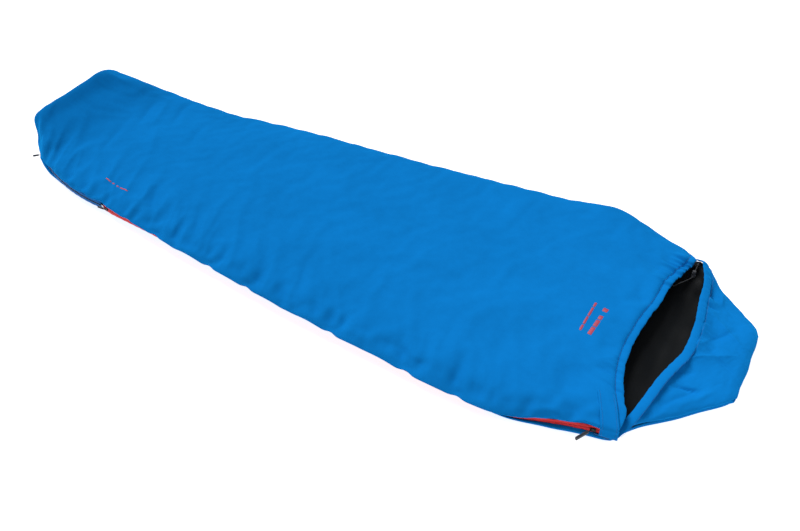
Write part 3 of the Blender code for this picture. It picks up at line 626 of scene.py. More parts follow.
def settle(points, hold, growth, frames, bending, thinning):
    """Lets cloth that is cut too large relax between its pinned edges.

    The cloth's grid is a coarser copy of the points. Growth is 1 where the cloth is the
    most too large. The movement found is returned for every point.
    """
    rows, columns = points.shape[:2]
    row_places = np.unique(np.round(np.linspace(0, rows - 1, rows // thinning)).astype(int))
    column_places = np.unique(np.round(np.linspace(0, columns - 1, columns // thinning)).astype(int))
    coarse = points[np.ix_(row_places, column_places)]
    pins = np.full(coarse.shape[:2], hold)
    pins[[0, -1]] = 1.0
    pins[:, [0, -1]] = 1.0
    kept = 1 - growth[np.ix_(row_places, column_places)]
    thing = make("settling", coarse, grid_faces(len(row_places), len(column_places)), [])
    for name, weights in (("pin", pins), ("keep", kept)):
        group = thing.vertex_groups.new(name=name)
        levels = np.round(weights.ravel() * 50) / 50
        for level in np.unique(levels):
            if level > 0:
                group.add(np.nonzero(levels == level)[0].tolist(), float(level), "REPLACE")
    cloth = thing.modifiers.new("cloth", "CLOTH")
    rules = cloth.settings
    rules.quality = 6
    rules.mass = 0.10
    rules.tension_stiffness = 25
    rules.compression_stiffness = 25
    rules.shear_stiffness = 12
    rules.bending_stiffness = bending
    rules.air_damping = 2.0
    rules.vertex_group_mass = "pin"
    rules.pin_stiffness = 1.0
    rules.vertex_group_shrink = "keep"
    rules.shrink_min = -0.04
    rules.shrink_max = 0.0
    rules.effector_weights.gravity = 0.0
    cloth.collision_settings.use_collision = False
    cloth.collision_settings.use_self_collision = False
    scene = bpy.context.scene
    scene.frame_start = 1
    scene.frame_end = frames
    for step in range(1, frames + 1):
        scene.frame_set(step)
    shape = thing.evaluated_get(bpy.context.evaluated_depsgraph_get())
    settled = np.empty(coarse.size, np.float32)
    shape.data.vertices.foreach_get("co", settled)
    scene.frame_set(1)
    mesh = thing.data
    bpy.data.objects.remove(thing, do_unlink=True)
    bpy.data.meshes.remove(mesh)
    move = settled.reshape(coarse.shape).astype(float) - coarse
    size = np.linalg.norm(move, axis=2, keepdims=True)
    move *= np.minimum(1.0, 0.010 / np.maximum(size, 1e-9))
    return spread(spread(move, row_places, rows, 0), column_places, columns, 1)


def settle_cover(outer):
    """The cover's puckers: most along its seams, and softer over the middle."""
    x = outer[..., 0]
    y = outer[..., 1]
    from_near = y - zip_y(x)
    from_far = far_side(x) - y
    hem_gap = hem_edge(y) - HEM_WIDTH - x
    edge = np.maximum(1 - smooth_step(0.0, 0.10, from_near), 1 - smooth_step(0.0, 0.08, from_far))
    edge = np.maximum(edge, 1 - smooth_step(0.0, 0.08, hem_gap))
    move = settle(outer, 0.4, 0.3 + 0.7 * edge, 24, 2.0, 3)
    share = (0.60 + 0.40 * edge) * (0.12 + 0.88 * smooth_step(0.0, 0.07, from_far))
    return outer + move * share[..., None]


ROLL_ANGLES = [math.radians(a) for a in (150, 120, 90, 60, 30, 0, -30, -60, -95, -130)]


def hem_roll(seam_row, normals):
    """Rows of the hem's drawcord channel, rolled from the seam over the edge and back under."""
    y = seam_row[:, 1]
    along = np.cumsum(np.r_[0, np.linalg.norm(np.diff(seam_row, axis=0), axis=1)])
    place = np.stack([along, np.zeros_like(along), np.zeros_like(along)], axis=1)
    ruffle = wave(place, 0.020, 4.2) + 0.8 * wave(place, 0.011, 9.9)
    strong = 0.70 + 0.95 * smooth_step(0.05, 0.22, y) + 0.30 * (1 - smooth_step(-0.30, -0.20, y))
    outward_x = np.array([1.0, 0.0, 0.0])
    half = HEM_WIDTH / 2 * (1 - 0.65 * smooth_step(0.29, 0.34, y))
    thick = 0.0056 + 0.0036 * ruffle * strong
    centre = seam_row + outward_x * half[:, None] - normals * 0.0055
    rows = []
    for angle in ROLL_ANGLES:
        reach = half * math.cos(angle) * (1 + 0.22 * ruffle * strong)
        lift = thick * math.sin(angle)
        rows.append(centre + outward_x * reach[:, None] + normals * lift[:, None])
    return np.array(rows)


def build_cover():
    """The cover quilt: a closed form of outer sheet, rolled hem and lining."""
    outer, inner = cover_rows()
    outer = wrinkle(outer)
    outer = settle_cover(outer)
    roll = hem_roll(outer[-1], grid_normals(outer)[-1])
    inner[-1] = inner[-1] + np.array([-0.004, 0.0, 0.0])
    rows, columns = outer.shape[:2]
    loop = np.concatenate([outer, roll, inner[::-1]])
    total = len(loop)
    faces = grid_faces(total, columns, loop_rows=True)
    slots = []
    black_from = rows + len(roll) - 2
    for row in range(total):
        slots += [1 if black_from <= row < total - 1 else 0] * (columns - 1)
    for side in (0, columns - 1):
        for row in range(rows - 1):
            back = total - 1 - row
            face = [row, row + 1, back - 1, back]
            faces.append(tuple(i * columns + side for i in face))
            slots.append(0)
        faces.append(tuple(i * columns + side for i in range(rows - 1, total - rows + 1)))
        slots.append(0)
    thing = make("cover_quilt", loop, faces, [BLUE_LOOK, LINING_LOOK], slots)
    length = np.concatenate([outer[..., 0], outer[-1:, :, 0] + np.linspace(0, 0.05, len(roll))[:, None],
                             inner[::-1, :, 0]])
    across = np.concatenate([outer[..., 1], np.repeat(outer[-1:, :, 1], len(roll), axis=0), inner[::-1, :, 1]])
    mark_cloth(thing, np.stack([length, across], axis=2))
    outward(thing)
    subdivide(thing)
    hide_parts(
        "top_shell", "top_insulation", "top_lining", "flap_shell", "flap_insulation",
        "flap_lining", "hem_channel",
    )
    return thing, outer, roll


# ------------------------------------------------------------- base quilt
BASE_SPANS = [2, 2, 2, 6, 10, 10, 6, 2, 2, 2, 3, 12, 24, 12, 3]


def base_controls(x):
    """A closed outline of the base at x: wall, floor, far wall, then the lining back to the start."""
    middle, up_tape, _ = zip_frame(x)
    bulge = float(zip_shape(x)[3])
    near = float(zip_y(x))
    far = float(far_side(x))
    hood = float(smooth_step(0.885, 0.925, x))
    if x > ZIP_TOP:
        near = float(hood_near(x))
        far = float(hood_far(x))
    near_top = middle - up_tape * ZIP_HALF
    near_top = near_top * (1 - hood) + np.array([near + 0.003, 0.0140]) * hood
    out = near - bulge * (1 - hood)
    points = [near_top]
    points.append([out, 0.0135 - 0.0040 * hood])
    points.append([out + 0.002, 0.0055 - 0.0010 * hood])
    points.append([out + 0.014, 0.0004])
    points.append([near + 0.075, 0.0])
    middle_y = (near + far) / 2
    points.append([middle_y, 0.0])
    points.append([far - 0.075, 0.0])
    points.append([far - 0.016, 0.0004])
    points.append([far - 0.003, 0.0055 - 0.0010 * hood])
    stand = math.exp(-(((x - 0.928) / 0.025) ** 2) ** 1.5)
    points.append([far - 0.0005 - 0.004 * stand, 0.0135 - 0.0040 * hood + 0.014 * stand])
    points.append([far - 0.0045 - 0.008 * stand, 0.0222 - 0.0080 * hood + 0.042 * stand])
    points.append([far - 0.018 - 0.004 * stand, 0.0235 - 0.0080 * hood + 0.034 * stand])
    points.append([far - 0.090, 0.0225 - 0.0040 * hood])
    points.append([near + 0.090, 0.0225 - 0.0040 * hood])
    points.append([near + 0.020, 0.0215 - 0.0065 * hood])
    points.append(near_top + np.array([0.003, -0.001]))
    return np.array(points)


def build_base():
    """The base quilt, from the foot to the crown of the hood, with the hood's floor."""
    xs = np.concatenate([np.linspace(FOOT_X + 0.001, 0.80, 150), np.linspace(0.808, 1.103, 48)])
    rows = []
    for x in xs:
        rows.append([(x, *p) for p in resample(base_controls(x), BASE_SPANS)])
    loops = np.array(rows)
    columns = loops.shape[1]
    # soft folds of the lining, which show in the opening
    lining_start = sum(BASE_SPANS[:10]) + 2
    lining = loops[:, lining_start:-2]
    folds = 0.0040 * wave(lining, (0.09, 0.05, 1.0), 6.6) + 0.0030 * wave(lining, (0.035, 0.09, 1.0), 1.4)
    lining[..., 2] += folds * smooth_step(0.70, 0.85, lining[..., 0])
    wall = loops[:, 1:5]
    wall[..., 1] += 0.0030 * wave(wall, (0.045, 0.5, 0.3), 17.0)
    # the crown end is rounded in plan and closed
    end = loops[-1].copy()
    for push, shrink in ((0.005, 0.985), (0.007, 0.93)):
        closing = end.copy()
        closing[:, 0] += push
        closing[:, 1] = closing[:, 1] * shrink
        closing[:, 2] = 0.011 + (end[:, 2] - 0.011) * (0.86 if push < 0.006 else 0.35)
        loops = np.concatenate([loops, closing[None]])
    total = len(loops)
    faces = grid_faces(total, columns, loop_columns=True)
    black_from = sum(BASE_SPANS[:10]) + 1
    slots = []
    for row in range(total - 1):
        slots += [1 if black_from <= c < columns - 1 and row < total - 12 else 0 for c in range(columns)]
    for row, back in ((0, False), (total - 1, True)):
        half = columns // 2
        ring = [row * columns + c for c in range(columns)]
        for c in range(half - 1):
            quad = (ring[c], ring[c + 1], ring[columns - 2 - c], ring[columns - 1 - c])
            faces.append(quad)
            slots.append(0)
    thing = make("base_quilt", loops, faces, [BLUE_LOOK, LINING_LOOK], slots)
    mark_cloth(thing, loops[..., :2])
    outward(thing)
    subdivide(thing)
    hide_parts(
        "bottom_shell", "bottom_insulation", "bottom_lining", "hood_lower_shell",
        "hood_lower_insulation", "hood_lower_lining",
    )
    return thing


# --------------------------------------------------------------- foot end
def build_foot(outer):
    """The foot's end wall: a padded panel from the ridge down to the base."""
    ridge = outer[0]
    columns = len(ridge)
    levels = 12
    share = np.linspace(0, 1, columns)
    bottom = np.stack([
        np.full(columns, FOOT_X + 0.002),
        ridge[0, 1] + 0.004 + (ridge[-1, 1] - ridge[0, 1] - 0.008) * share,
        np.full(columns, 0.010),
    ], axis=1)
    rows = []
    for level in range(levels + 1):
        down = level / levels
        row = ridge * (1 - down) + bottom * down
        side = np.minimum(share, 1 - share) * 2
        puff = 0.016 * math.sin(math.pi * min(down * 1.04, 1.0)) ** 0.7 * smooth_step(0.0, 0.25, side)
        row[:, 0] -= puff + 0.0015 * wave(row, (1.0, 0.06, 0.05), 2.2)
        rows.append(row)
    outside = np.array(rows)
    inside = outside.copy()
    inside[..., 0] = np.maximum(outside[..., 0] + 0.007, FOOT_X + 0.002 - RIDGE_LEAN)
    inside[..., 1] = inside[..., 1] * 0.965
    inside[..., 2] = 0.006 + (inside[..., 2] - 0.006) * 0.930
    count = outside.shape[0] * columns
    points = np.concatenate([outside.reshape(-1, 3), inside.reshape(-1, 3)])
    front = grid_faces(levels + 1, columns)
    faces = list(front)
    faces += [tuple(i + count for i in face)[::-1] for face in front]
    rim = [c for c in range(columns)]
    rim += [r * columns + columns - 1 for r in range(1, levels + 1)]
    rim += [levels * columns + c for c in range(columns - 2, -1, -1)]
    rim += [r * columns for r in range(levels - 1, 0, -1)]
    for a, b in zip(rim, rim[1:] + rim[:1]):
        faces.append((a, b, b + count, a + count))
    slots = [0] * len(front) + [1] * len(front) + [0] * len(rim)
    thing = make("foot_panel", points, faces, [BLUE_LOOK, LINING_LOOK], slots)
    mark_cloth(thing, points[:, 1:])
    outward(thing)
    subdivide(thing)
    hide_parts("foot_shell", "foot_insulation", "foot_lining")
    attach(thing, "bag")
    return thing


# ------------------------------------------------------------------- zips
def zip_stations(start, end, step):
    """Places along the zip, evenly spaced by length."""
    xs = np.linspace(start, end, 900)
    line = np.stack([xs, zip_y(xs), zip_shape(xs)[:, 0]], axis=1)
    run = np.r_[0, np.cumsum(np.linalg.norm(np.diff(line, axis=0), axis=1))]
    count = int(run[-1] / step)
    return np.interp(np.linspace(0, run[-1], count), run, xs)


def zip_axes(x):
    """Middle, direction along, up the tape, and outward, in space."""
    middle, up_tape, facing = zip_frame(x)
    ahead, _, _ = zip_frame(min(x + 0.004, ZIP_TOP))
    behind, _, _ = zip_frame(x - 0.004)
    step = min(x + 0.004, ZIP_TOP) - (x - 0.004)
    along = Vector((step, *(ahead - behind))).normalized()
    up = Vector((0.0, *up_tape))
    up = (up - along * up.dot(along)).normalized()
    out = along.cross(up).normalized()
    if out.y > 0:
        out = -out
    return Vector((x, *middle)), along, up, out


def zip_tape(name, start, end, side, look):
    """One tape from under the coil to under the shell's edge. side is -1 below and 1 above."""
    outline = [(0.0012, 0.0004), (0.0040, 0.0005), (0.0080, 0.0004), (0.0126, 0.0002)]
    outline += [(0.0126, -0.0005), (0.0080, -0.0006), (0.0040, -0.0006), (0.0012, -0.0004)]
    rows = []
    for i, x in enumerate(zip_stations(start, end, 0.008)):
        middle, _, up, out = zip_axes(float(x))
        ripple = 0.0004 * math.sin(i * 1.9)
        rows.append([middle + up * (side * reach) + out * (depth + ripple * reach / 0.012)
                     for reach, depth in outline])
    points = np.array(rows)
    count = len(outline)
    faces = grid_faces(len(rows), count, loop_columns=True)
    faces.append(tuple(range(count)))
    faces.append(tuple(range((len(rows) - 1) * count, len(rows) * count)))
    thing = make(name, points, faces, [look])
    outward(thing)
    return thing


def zip_coil(name, start, end, side, look):
    """The coil's turns on one tape, as a row of rounded teeth that lie between the other side's."""
    pitch = 0.0027
    ring = [(math.cos(a), math.sin(a)) for a in np.linspace(0, 2 * math.pi, 9)[:-1]]
    points = []
    faces = []
    for i, x in enumerate(zip_stations(start, end, pitch)):
        middle, along, up, out = zip_axes(float(x) + (pitch / 2 if side > 0 else 0.0))
        centre = middle + up * (side * 0.0011)
        first = len(points)
        for reach, size in ((-0.00072, 0.62), (-0.00035, 1.0), (0.00035, 1.0), (0.00072, 0.62)):
            for a, b in ring:
                points.append(centre + along * reach + up * (a * 0.0019 * size) + out * (b * 0.0014 * size))
        for layer in range(3):
            for k in range(8):
                a = first + layer * 8 + k
                b = first + layer * 8 + (k + 1) % 8
                faces.append((a, b, b + 8, a + 8))
        faces.append(tuple(first + k for k in range(8))[::-1])
        faces.append(tuple(first + 24 + k for k in range(8)))
    return make(name, np.array(points), faces, [look])


def build_zips():
    side = (-0.6890, 0.8838)
    foot = (-1.0830, -0.6995)
    for label, body, way in (("lower", "bag", -1), ("upper", "flap", 1)):
        tape = zip_tape(f"side_{label}_tape", *side, way, RED_TAPE_LOOK)
        coil = zip_coil(f"side_{label}_coil", *side, way, RED_COIL_LOOK)
        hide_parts(f"side_{label}_zip_tape")
        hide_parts(f"side_{label}_zip_coil")
        for thing in (tape, coil):
            if body == "bag":
                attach(thing, "bag")
            else:
                fold_with_flap(thing)
        tape = zip_tape(f"foot_{label}_tape", *foot, way, NAVY_TAPE_LOOK)
        coil = zip_coil(f"foot_{label}_coil", *foot, way, NAVY_COIL_LOOK)
        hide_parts(f"foot_{label}_zip_tape")
        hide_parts(f"foot_{label}_zip_coil")
        for thing in (tape, coil):
            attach(thing, "bag")
    for name in ("lower_head_stop", "upper_head_stop", "bottom_stop"):
        NODES[name].data.materials.clear()
        NODES[name].data.materials.append(BRIGHT_METAL_LOOK)


def fold_with_flap(thing):
    """Bakes the placement of a piece of the cover into its mesh, without bending it."""
    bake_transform(thing)


# ---------------------------------------------------------------- sliders
def rounded_plate(bm, outline, low, high, origin, axes, bevel=0.0004):
    """A bevelled flat plate: outline in the first two axes, low and high along the third."""
    rings = []
    middle = np.mean(outline, axis=0)
    for height, inset in ((low, bevel), (low + bevel, 0.0), (high - bevel, 0.0), (high, bevel)):
        ring = []
        for point in outline:
            away = np.array(point) - middle
            p = middle + away * (1 - inset / max(np.linalg.norm(away), 1e-6))
            ring.append(bm.verts.new(origin + axes[0] * p[0] + axes[1] * p[1] + axes[2] * height))
        rings.append(ring)
    count = len(outline)
    for lower, upper in zip(rings, rings[1:]):
        for k in range(count):
            bm.faces.new((lower[k], lower[(k + 1) % count], upper[(k + 1) % count], upper[k]))
    bm.faces.new(rings[0][::-1])
    bm.faces.new(rings[-1])


def bar(bm, path, radius, sides=8):
    """A round wire along the path."""
    path = [Vector(p) for p in path]
    rings = []
    for i, point in enumerate(path):
        ahead = path[min(i + 1, len(path) - 1)] - path[max(i - 1, 0)]
        tangent = ahead.normalized()
        side = tangent.cross(Vector((0.31, 0.52, 0.79))).normalized()
        lift = tangent.cross(side)
        ring = []
        for k in range(sides):
            a = 2 * math.pi * k / sides
            ring.append(bm.verts.new(point + side * (radius * math.cos(a)) + lift * (radius * math.sin(a))))
        rings.append(ring)
    for first, second in zip(rings, rings[1:]):
        for k in range(sides):
            bm.faces.new((first[k], first[(k + 1) % sides], second[(k + 1) % sides], second[k]))
    bm.faces.new(rings[0][::-1])
    bm.faces.new(rings[-1])


def from_bmesh(name, bm, look):
    bmesh.ops.recalc_face_normals(bm, faces=bm.faces)
    mesh = bpy.data.meshes.new(name)
    bm.to_mesh(mesh)
    bm.free()
    mesh.materials.append(look)
    mesh.shade_smooth()
    mesh.set_sharp_from_angle(angle=math.radians(38))
    thing = bpy.data.objects.new(name, mesh)
    bpy.context.scene.collection.objects.link(thing)
    return thing


def slider(label, x, arc, way):
    """A slider: two shield-shaped plates on the zip, the neck between them, and a bridge for the puller."""
    low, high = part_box(label + "_slider")
    middle = (low.z + high.z) / 2
    arc = Vector(arc)
    radius = math.hypot(NODES_PIN[label].x - arc.x, NODES_PIN[label].y - arc.y) - 0.0063
    angle = math.asin((x - arc.x) / radius)
    along = Vector((math.cos(angle), math.sin(angle), 0.0))
    out = Vector((math.sin(angle), -math.cos(angle), 0.0))
    origin = Vector((arc.x, arc.y, middle)) + out * radius
    up = Vector((0.0, 0.0, 1.0))
    half = 0.0070
    wide = 0.0050
    nose = [(-half, -wide * 0.60), (-half * 0.75, -wide * 0.86), (-half * 0.2, -wide * 0.98)]
    nose += [(half * 0.5, -wide), (half * 0.85, -wide * 0.9), (half, -wide * 0.55)]
    nose += [(half * 0.92, 0.0)]
    outline = nose + [(a, -b) for a, b in nose[-2::-1]]
    bm = bmesh.new()
    axes = (along * way, up, out)
    rounded_plate(bm, outline, 0.0023, 0.0036, origin, axes)
    rounded_plate(bm, outline, -0.0036, -0.0023, origin, axes)
    neck = [(0.0066 * math.cos(a) * 0.25 + 0.0040, 0.0022 * math.sin(a)) for a in np.linspace(0, 2 * math.pi, 11)[:-1]]
    rounded_plate(bm, neck, -0.0026, 0.0026, origin, axes, 0.0002)
    arch = []
    for a in np.linspace(0, math.pi, 11):
        arch.append(origin + along * (-0.0052 + 0.0001) * 1.0 + along * (0.0052 * (1 - math.cos(a)))
                    + out * (0.0034 + 0.0032 * math.sin(a)))
    bar(bm, arch, 0.0009, 8)
    thing = from_bmesh(label + "_zip_slider", bm, METAL_LOOK)
    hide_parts(label + "_slider")
    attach(thing, label + "_slider")


NODES_PIN = {
    label: Vector(JOINTS[label + "_puller_swing"]["pos_m"]) for label in ("head", "side", "foot")
}


def puller(label):
    """A wire link through the slider's bridge and a ribbed rubber tag."""
    pin = NODES_PIN[label]
    points = np.array([v.co for v in NODES[label + "_puller"].data.vertices])
    away = points - np.array(pin)
    reach = np.linalg.norm(away[:, :2], axis=1)
    tip = points[reach > reach.max() - 0.002].mean(axis=0)
    direction = Vector((tip[0] - pin.x, tip[1] - pin.y, 0.0)).normalized()
    length = float(reach.max())
    side = Vector((-direction.y, direction.x, 0.0))
    up = Vector((0.0, 0.0, 1.0))
    bm = bmesh.new()
    link_path = []
    for a in np.linspace(0, 2 * math.pi, 25):
        link_path.append(pin + direction * (0.0042 - 0.0056 * math.cos(a)) + up * (0.0019 * math.sin(a)))
    bar(bm, link_path, 0.0009, 8)
    wire = from_bmesh(label + "_puller_link", bm, METAL_LOOK)
    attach(wire, label + "_puller")
    bm = bmesh.new()
    rings = []
    start = 0.0058
    wide = 0.0051 if label == "head" else 0.0033
    steps = 30
    for i in range(steps + 1):
        share = i / steps
        place = start + (length - start) * share
        swell = min(1.0, math.sqrt(max(1 - (2 * share - 1) ** 12, 0.0)) + 0.25)
        rib = 0.00022 * (1 if (i % 3 == 1 and 0.2 < share < 0.9) else 0)
        half_high = wide * (0.80 + 0.20 * share) * swell + rib
        half_wide = 0.60 * wide * swell + rib
        ring = []
        for k in range(16):
            a = 2 * math.pi * k / 16
            c = math.copysign(abs(math.cos(a)) ** 0.6, math.cos(a))
            s = math.copysign(abs(math.sin(a)) ** 0.6, math.sin(a))
            ring.append(bm.verts.new(pin + direction * place + side * (half_wide * c) + up * (half_high * s)))
        rings.append(ring)
    for first, second in zip(rings, rings[1:]):
        for k in range(16):
            bm.faces.new((first[k], first[(k + 1) % 16], second[(k + 1) % 16], second[k]))
    bm.faces.new(rings[0][::-1])
    bm.faces.new(rings[-1])
    tag = from_bmesh(label + "_puller_tag", bm, TAG_LOOK)
    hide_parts(label + "_puller")
    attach(tag, label + "_puller")


def build_sliders():
    slider("head", 0.858, JOINTS["head_slider_travel"]["pos_m"], 1)
    slider("side", -0.672, JOINTS["side_slider_travel"]["pos_m"], -1)
    slider("foot", -1.070, JOINTS["foot_slider_travel"]["pos_m"], -1)
    for label in ("head", "side", "foot"):
        puller(label)


# ------------------------------------------------------------- garage tab
TAB_TILT = 0.50         # how far the tab leans towards the crown for each metre outward
TAB_START = 0.268


def envelope(x):
    """The bag's outside at x from 0.11 m inboard, over the edge, and down to the floor."""
    outer = resample(cover_controls(x), [4, 4, 4, 8, 12, 12, 12, 12, 6, 4, 3, 3, 2])
    near = float(zip_y(x))
    cover = outer[outer[:, 0] < near + 0.115][::-1]
    middle, up_tape, facing = zip_frame(x)
    tail = [middle + facing * 0.0042]
    tail.append(middle + facing * 0.0030 + np.array([0.0, -0.0065]))
    return np.concatenate([cover[:-2], np.array(tail)])


def build_tab():
    columns = 9
    rows = 46
    grid = np.zeros((rows, columns, 3))
    for c in range(columns):
        offset = (c / (columns - 1) - 0.5) * 0.044
        x0 = 0.8784 + offset
        path = envelope(x0)
        run = np.r_[0, np.cumsum(np.linalg.norm(np.diff(path, axis=0), axis=1))]
        inboard = np.argmin(np.abs(path[:, 0] + TAB_START))
        s = np.linspace(run[inboard], run[-1] - 0.001, rows)
        y = np.interp(s, run, path[:, 0])
        z = np.interp(s, run, path[:, 1])
        grid[:, c, 1] = y
        grid[:, c, 2] = z
        grid[:, c, 0] = x0 + TAB_TILT * (-TAB_START - y) - 0.026
    for _ in range(3):
        grid[1:-1] = (grid[:-2] + 2 * grid[1:-1] + grid[2:]) / 4
    normals = grid_normals(grid)
    if normals[0, 4, 2] < 0:
        normals = -normals
    lift = 0.0020 + 0.0010 * wave(grid, (0.05, 0.03, 0.03), 3.3)
    lift -= 0.0022 * (1 - smooth_step(0.0, 0.10, np.linspace(0, 1, rows)))[:, None]
    grid = grid + normals * lift[..., None]
    thick = 0.0019
    upper = grid + normals * thick
    points = np.concatenate([upper.reshape(-1, 3), grid.reshape(-1, 3)])
    count = rows * columns
    top = grid_faces(rows, columns)
    faces = list(top) + [tuple(i + count for i in face)[::-1] for face in top]
    rim = [c for c in range(columns)]
    rim += [r * columns + columns - 1 for r in range(1, rows)]
    rim += [(rows - 1) * columns + c for c in range(columns - 2, -1, -1)]
    rim += [r * columns for r in range(rows - 2, 0, -1)]
    for a, b in zip(rim, rim[1:] + rim[:1]):
        faces.append((a, b, b + count, a + count))
    thing = make("zip_garage_tab", points, faces, [TRIM_LOOK])
    run = np.linspace(0, 0.14, rows)
    wide = np.linspace(0, 0.041, columns)
    flat = np.stack(np.broadcast_arrays(wide[None, :], run[:, None]), axis=2)
    mark_cloth(thing, np.concatenate([flat, flat]))
    outward(thing)
    subdivide(thing)
    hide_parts("garage_tab")
    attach(thing, "garage_tab")
    border = []
    border += [upper[r, 1] for r in range(1, rows - 1)]
    border += [upper[rows - 2, c] for c in range(2, columns - 1)]
    border += [upper[r, columns - 2] for r in range(rows - 2, 0, -1)]
    seam = stitches("tab_stitching", border, THREAD_LOOK, lift=0.0003)
    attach(seam, "garage_tab")
    hook = patch("tab_hook", grid, normals, -0.0016, "tab_loop_patch")
    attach(hook, "garage_tab")
    return grid, normals


def patch(name, grid, normals, offset, node_name):
    """A rectangle of hook-and-loop on the inside of the tab."""
    rows = range(grid.shape[0] - 10, grid.shape[0] - 2)
    inner = grid[rows.start:rows.stop, 1:-1] + normals[rows.start:rows.stop, 1:-1] * (offset + 0.0006)
    back = inner + normals[rows.start:rows.stop, 1:-1] * 0.0009
    count = inner.shape[0] * inner.shape[1]
    top = grid_faces(inner.shape[0], inner.shape[1])
    faces = list(top) + [tuple(i + count for i in face)[::-1] for face in top]
    r, c = inner.shape[:2]
    rim = list(range(c)) + [k * c + c - 1 for k in range(1, r)]
    rim += [(r - 1) * c + k for k in range(c - 2, -1, -1)] + [k * c for k in range(r - 2, 0, -1)]
    for a, b in zip(rim, rim[1:] + rim[:1]):
        faces.append((a, b, b + count, a + count))
    thing = make(name, np.concatenate([inner.reshape(-1, 3), back.reshape(-1, 3)]), faces, [HOOK_LOOK])
    outward(thing)
    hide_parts(node_name)
    return thing


# --------------------------------------------------------------- stitches
def stitches(name, path, look, pitch=0.0042, length=0.0030, radius=0.00042, lift=0.0004, up=(0, 0, 1)):
    """A row of stitches along the path, each a short rounded length of thread."""
    path = np.asarray([tuple(p) for p in path], float)
    run = np.r_[0, np.cumsum(np.linalg.norm(np.diff(path, axis=0), axis=1))]
    count = max(int(run[-1] / pitch), 2)
    places = np.linspace(pitch / 2, run[-1] - pitch / 2, count)
    points = []
    faces = []
    rings = ((-0.5, 0.25, -0.5), (-0.36, 0.85, -0.1), (0.0, 1.0, 0.15), (0.36, 0.85, -0.1), (0.5, 0.25, -0.5))
    for s in places:
        ends = [np.array([np.interp(t, run, path[:, k]) for k in range(3)])
                for t in (s - length / 2, s + length / 2)]
        middle = Vector((ends[0] + ends[1]) / 2)
        along = Vector(ends[1] - ends[0]).normalized()
        side = along.cross(Vector(up)).normalized()
        raised = side.cross(along)
        first = len(points)
        for shift, size, sink in rings:
            centre = middle + along * (shift * length) + raised * (lift + radius * sink)
            for k in range(6):
                a = math.pi / 3 * k
                points.append(centre + side * (radius * size * math.cos(a)) + raised * (radius * size * math.sin(a)))
        for layer in range(4):
            for k in range(6):
                a = first + layer * 6 + k
                b = first + layer * 6 + (k + 1) % 6
                faces.append((a, b, b + 6, a + 6))
        faces.append(tuple(first + k for k in range(6))[::-1])
        faces.append(tuple(first + 24 + k for k in range(6)))
    return make(name, np.array(points), faces, [look])


# -------------------------------------------------------------------- hood
HOOD_SPANS = [2, 4, 10, 24, 28, 28, 24, 10, 4, 2]
HOOD_END = 1.112
HOOD_ROUND = 1.086
HOOD_SEAM = 0.0145


def hood_controls(x):
    """The hood's upper outline at x, rounded down to its seam at the crown."""
    near = float(hood_near(x))
    far = float(hood_far(x))
    wide = far - near
    share = max((x - 0.93) / (HOOD_END - 0.93), 0.0)
    drop = math.sqrt(max(1 - (max(x - HOOD_ROUND, 0.0) / (HOOD_END - HOOD_ROUND)) ** 2, 0.0))
    height = HOOD_SEAM + (0.035 + 0.027 * math.exp(-share / 0.30) - HOOD_SEAM) * drop
    shoulder = HOOD_SEAM + (0.026 + 0.014 * math.exp(-share / 0.30) - HOOD_SEAM) * drop
    side = HOOD_SEAM + 0.006 * drop
    points = [(near + 0.0015, HOOD_SEAM), (near - 0.001, side), (near + 0.013, shoulder)]
    points.append((near + 0.16 * wide, shoulder + 0.55 * (height - shoulder)))
    points.append((near + 0.36 * wide, height))
    points.append((near + 0.50 * wide, height + 0.001))
    points.append((near + 0.66 * wide, height))
    points.append((far - 0.14 * wide, shoulder + 0.60 * (height - shoulder)))
    points.append((far - 0.015, shoulder))
    points.append((far + 0.000, side))
    points.append((far - 0.003, HOOD_SEAM))
    return np.array(points)


# the hood's folds: start, end, height (or depth) and half width
HOOD_CREASES = [
    ((0.958, 0.250), (0.985, 0.185), -0.0200, 0.010), ((0.990, 0.262), (1.004, 0.190), 0.0110, 0.008),
    ((0.985, -0.045), (1.080, 0.020), 0.0120, 0.013), ((0.990, 0.010), (1.060, 0.110), -0.0100, 0.016),
    ((0.992, 0.130), (1.085, 0.060), 0.0100, 0.012), ((0.976, -0.143), (1.034, -0.130), -0.0110, 0.0035),
    ((0.971, 0.150), (1.002, 0.156), -0.0080, 0.0035), ((0.965, -0.100), (1.010, -0.080), -0.0060, 0.010),
    ((1.000, -0.200), (1.060, -0.110), 0.0070, 0.012), ((0.965, -0.215), (1.040, -0.110), -0.0070, 0.010),
    ((1.020, 0.000), (1.095, -0.040), -0.0060, 0.010), ((0.985, -0.010), (1.020, 0.060), 0.0060, 0.009),
]


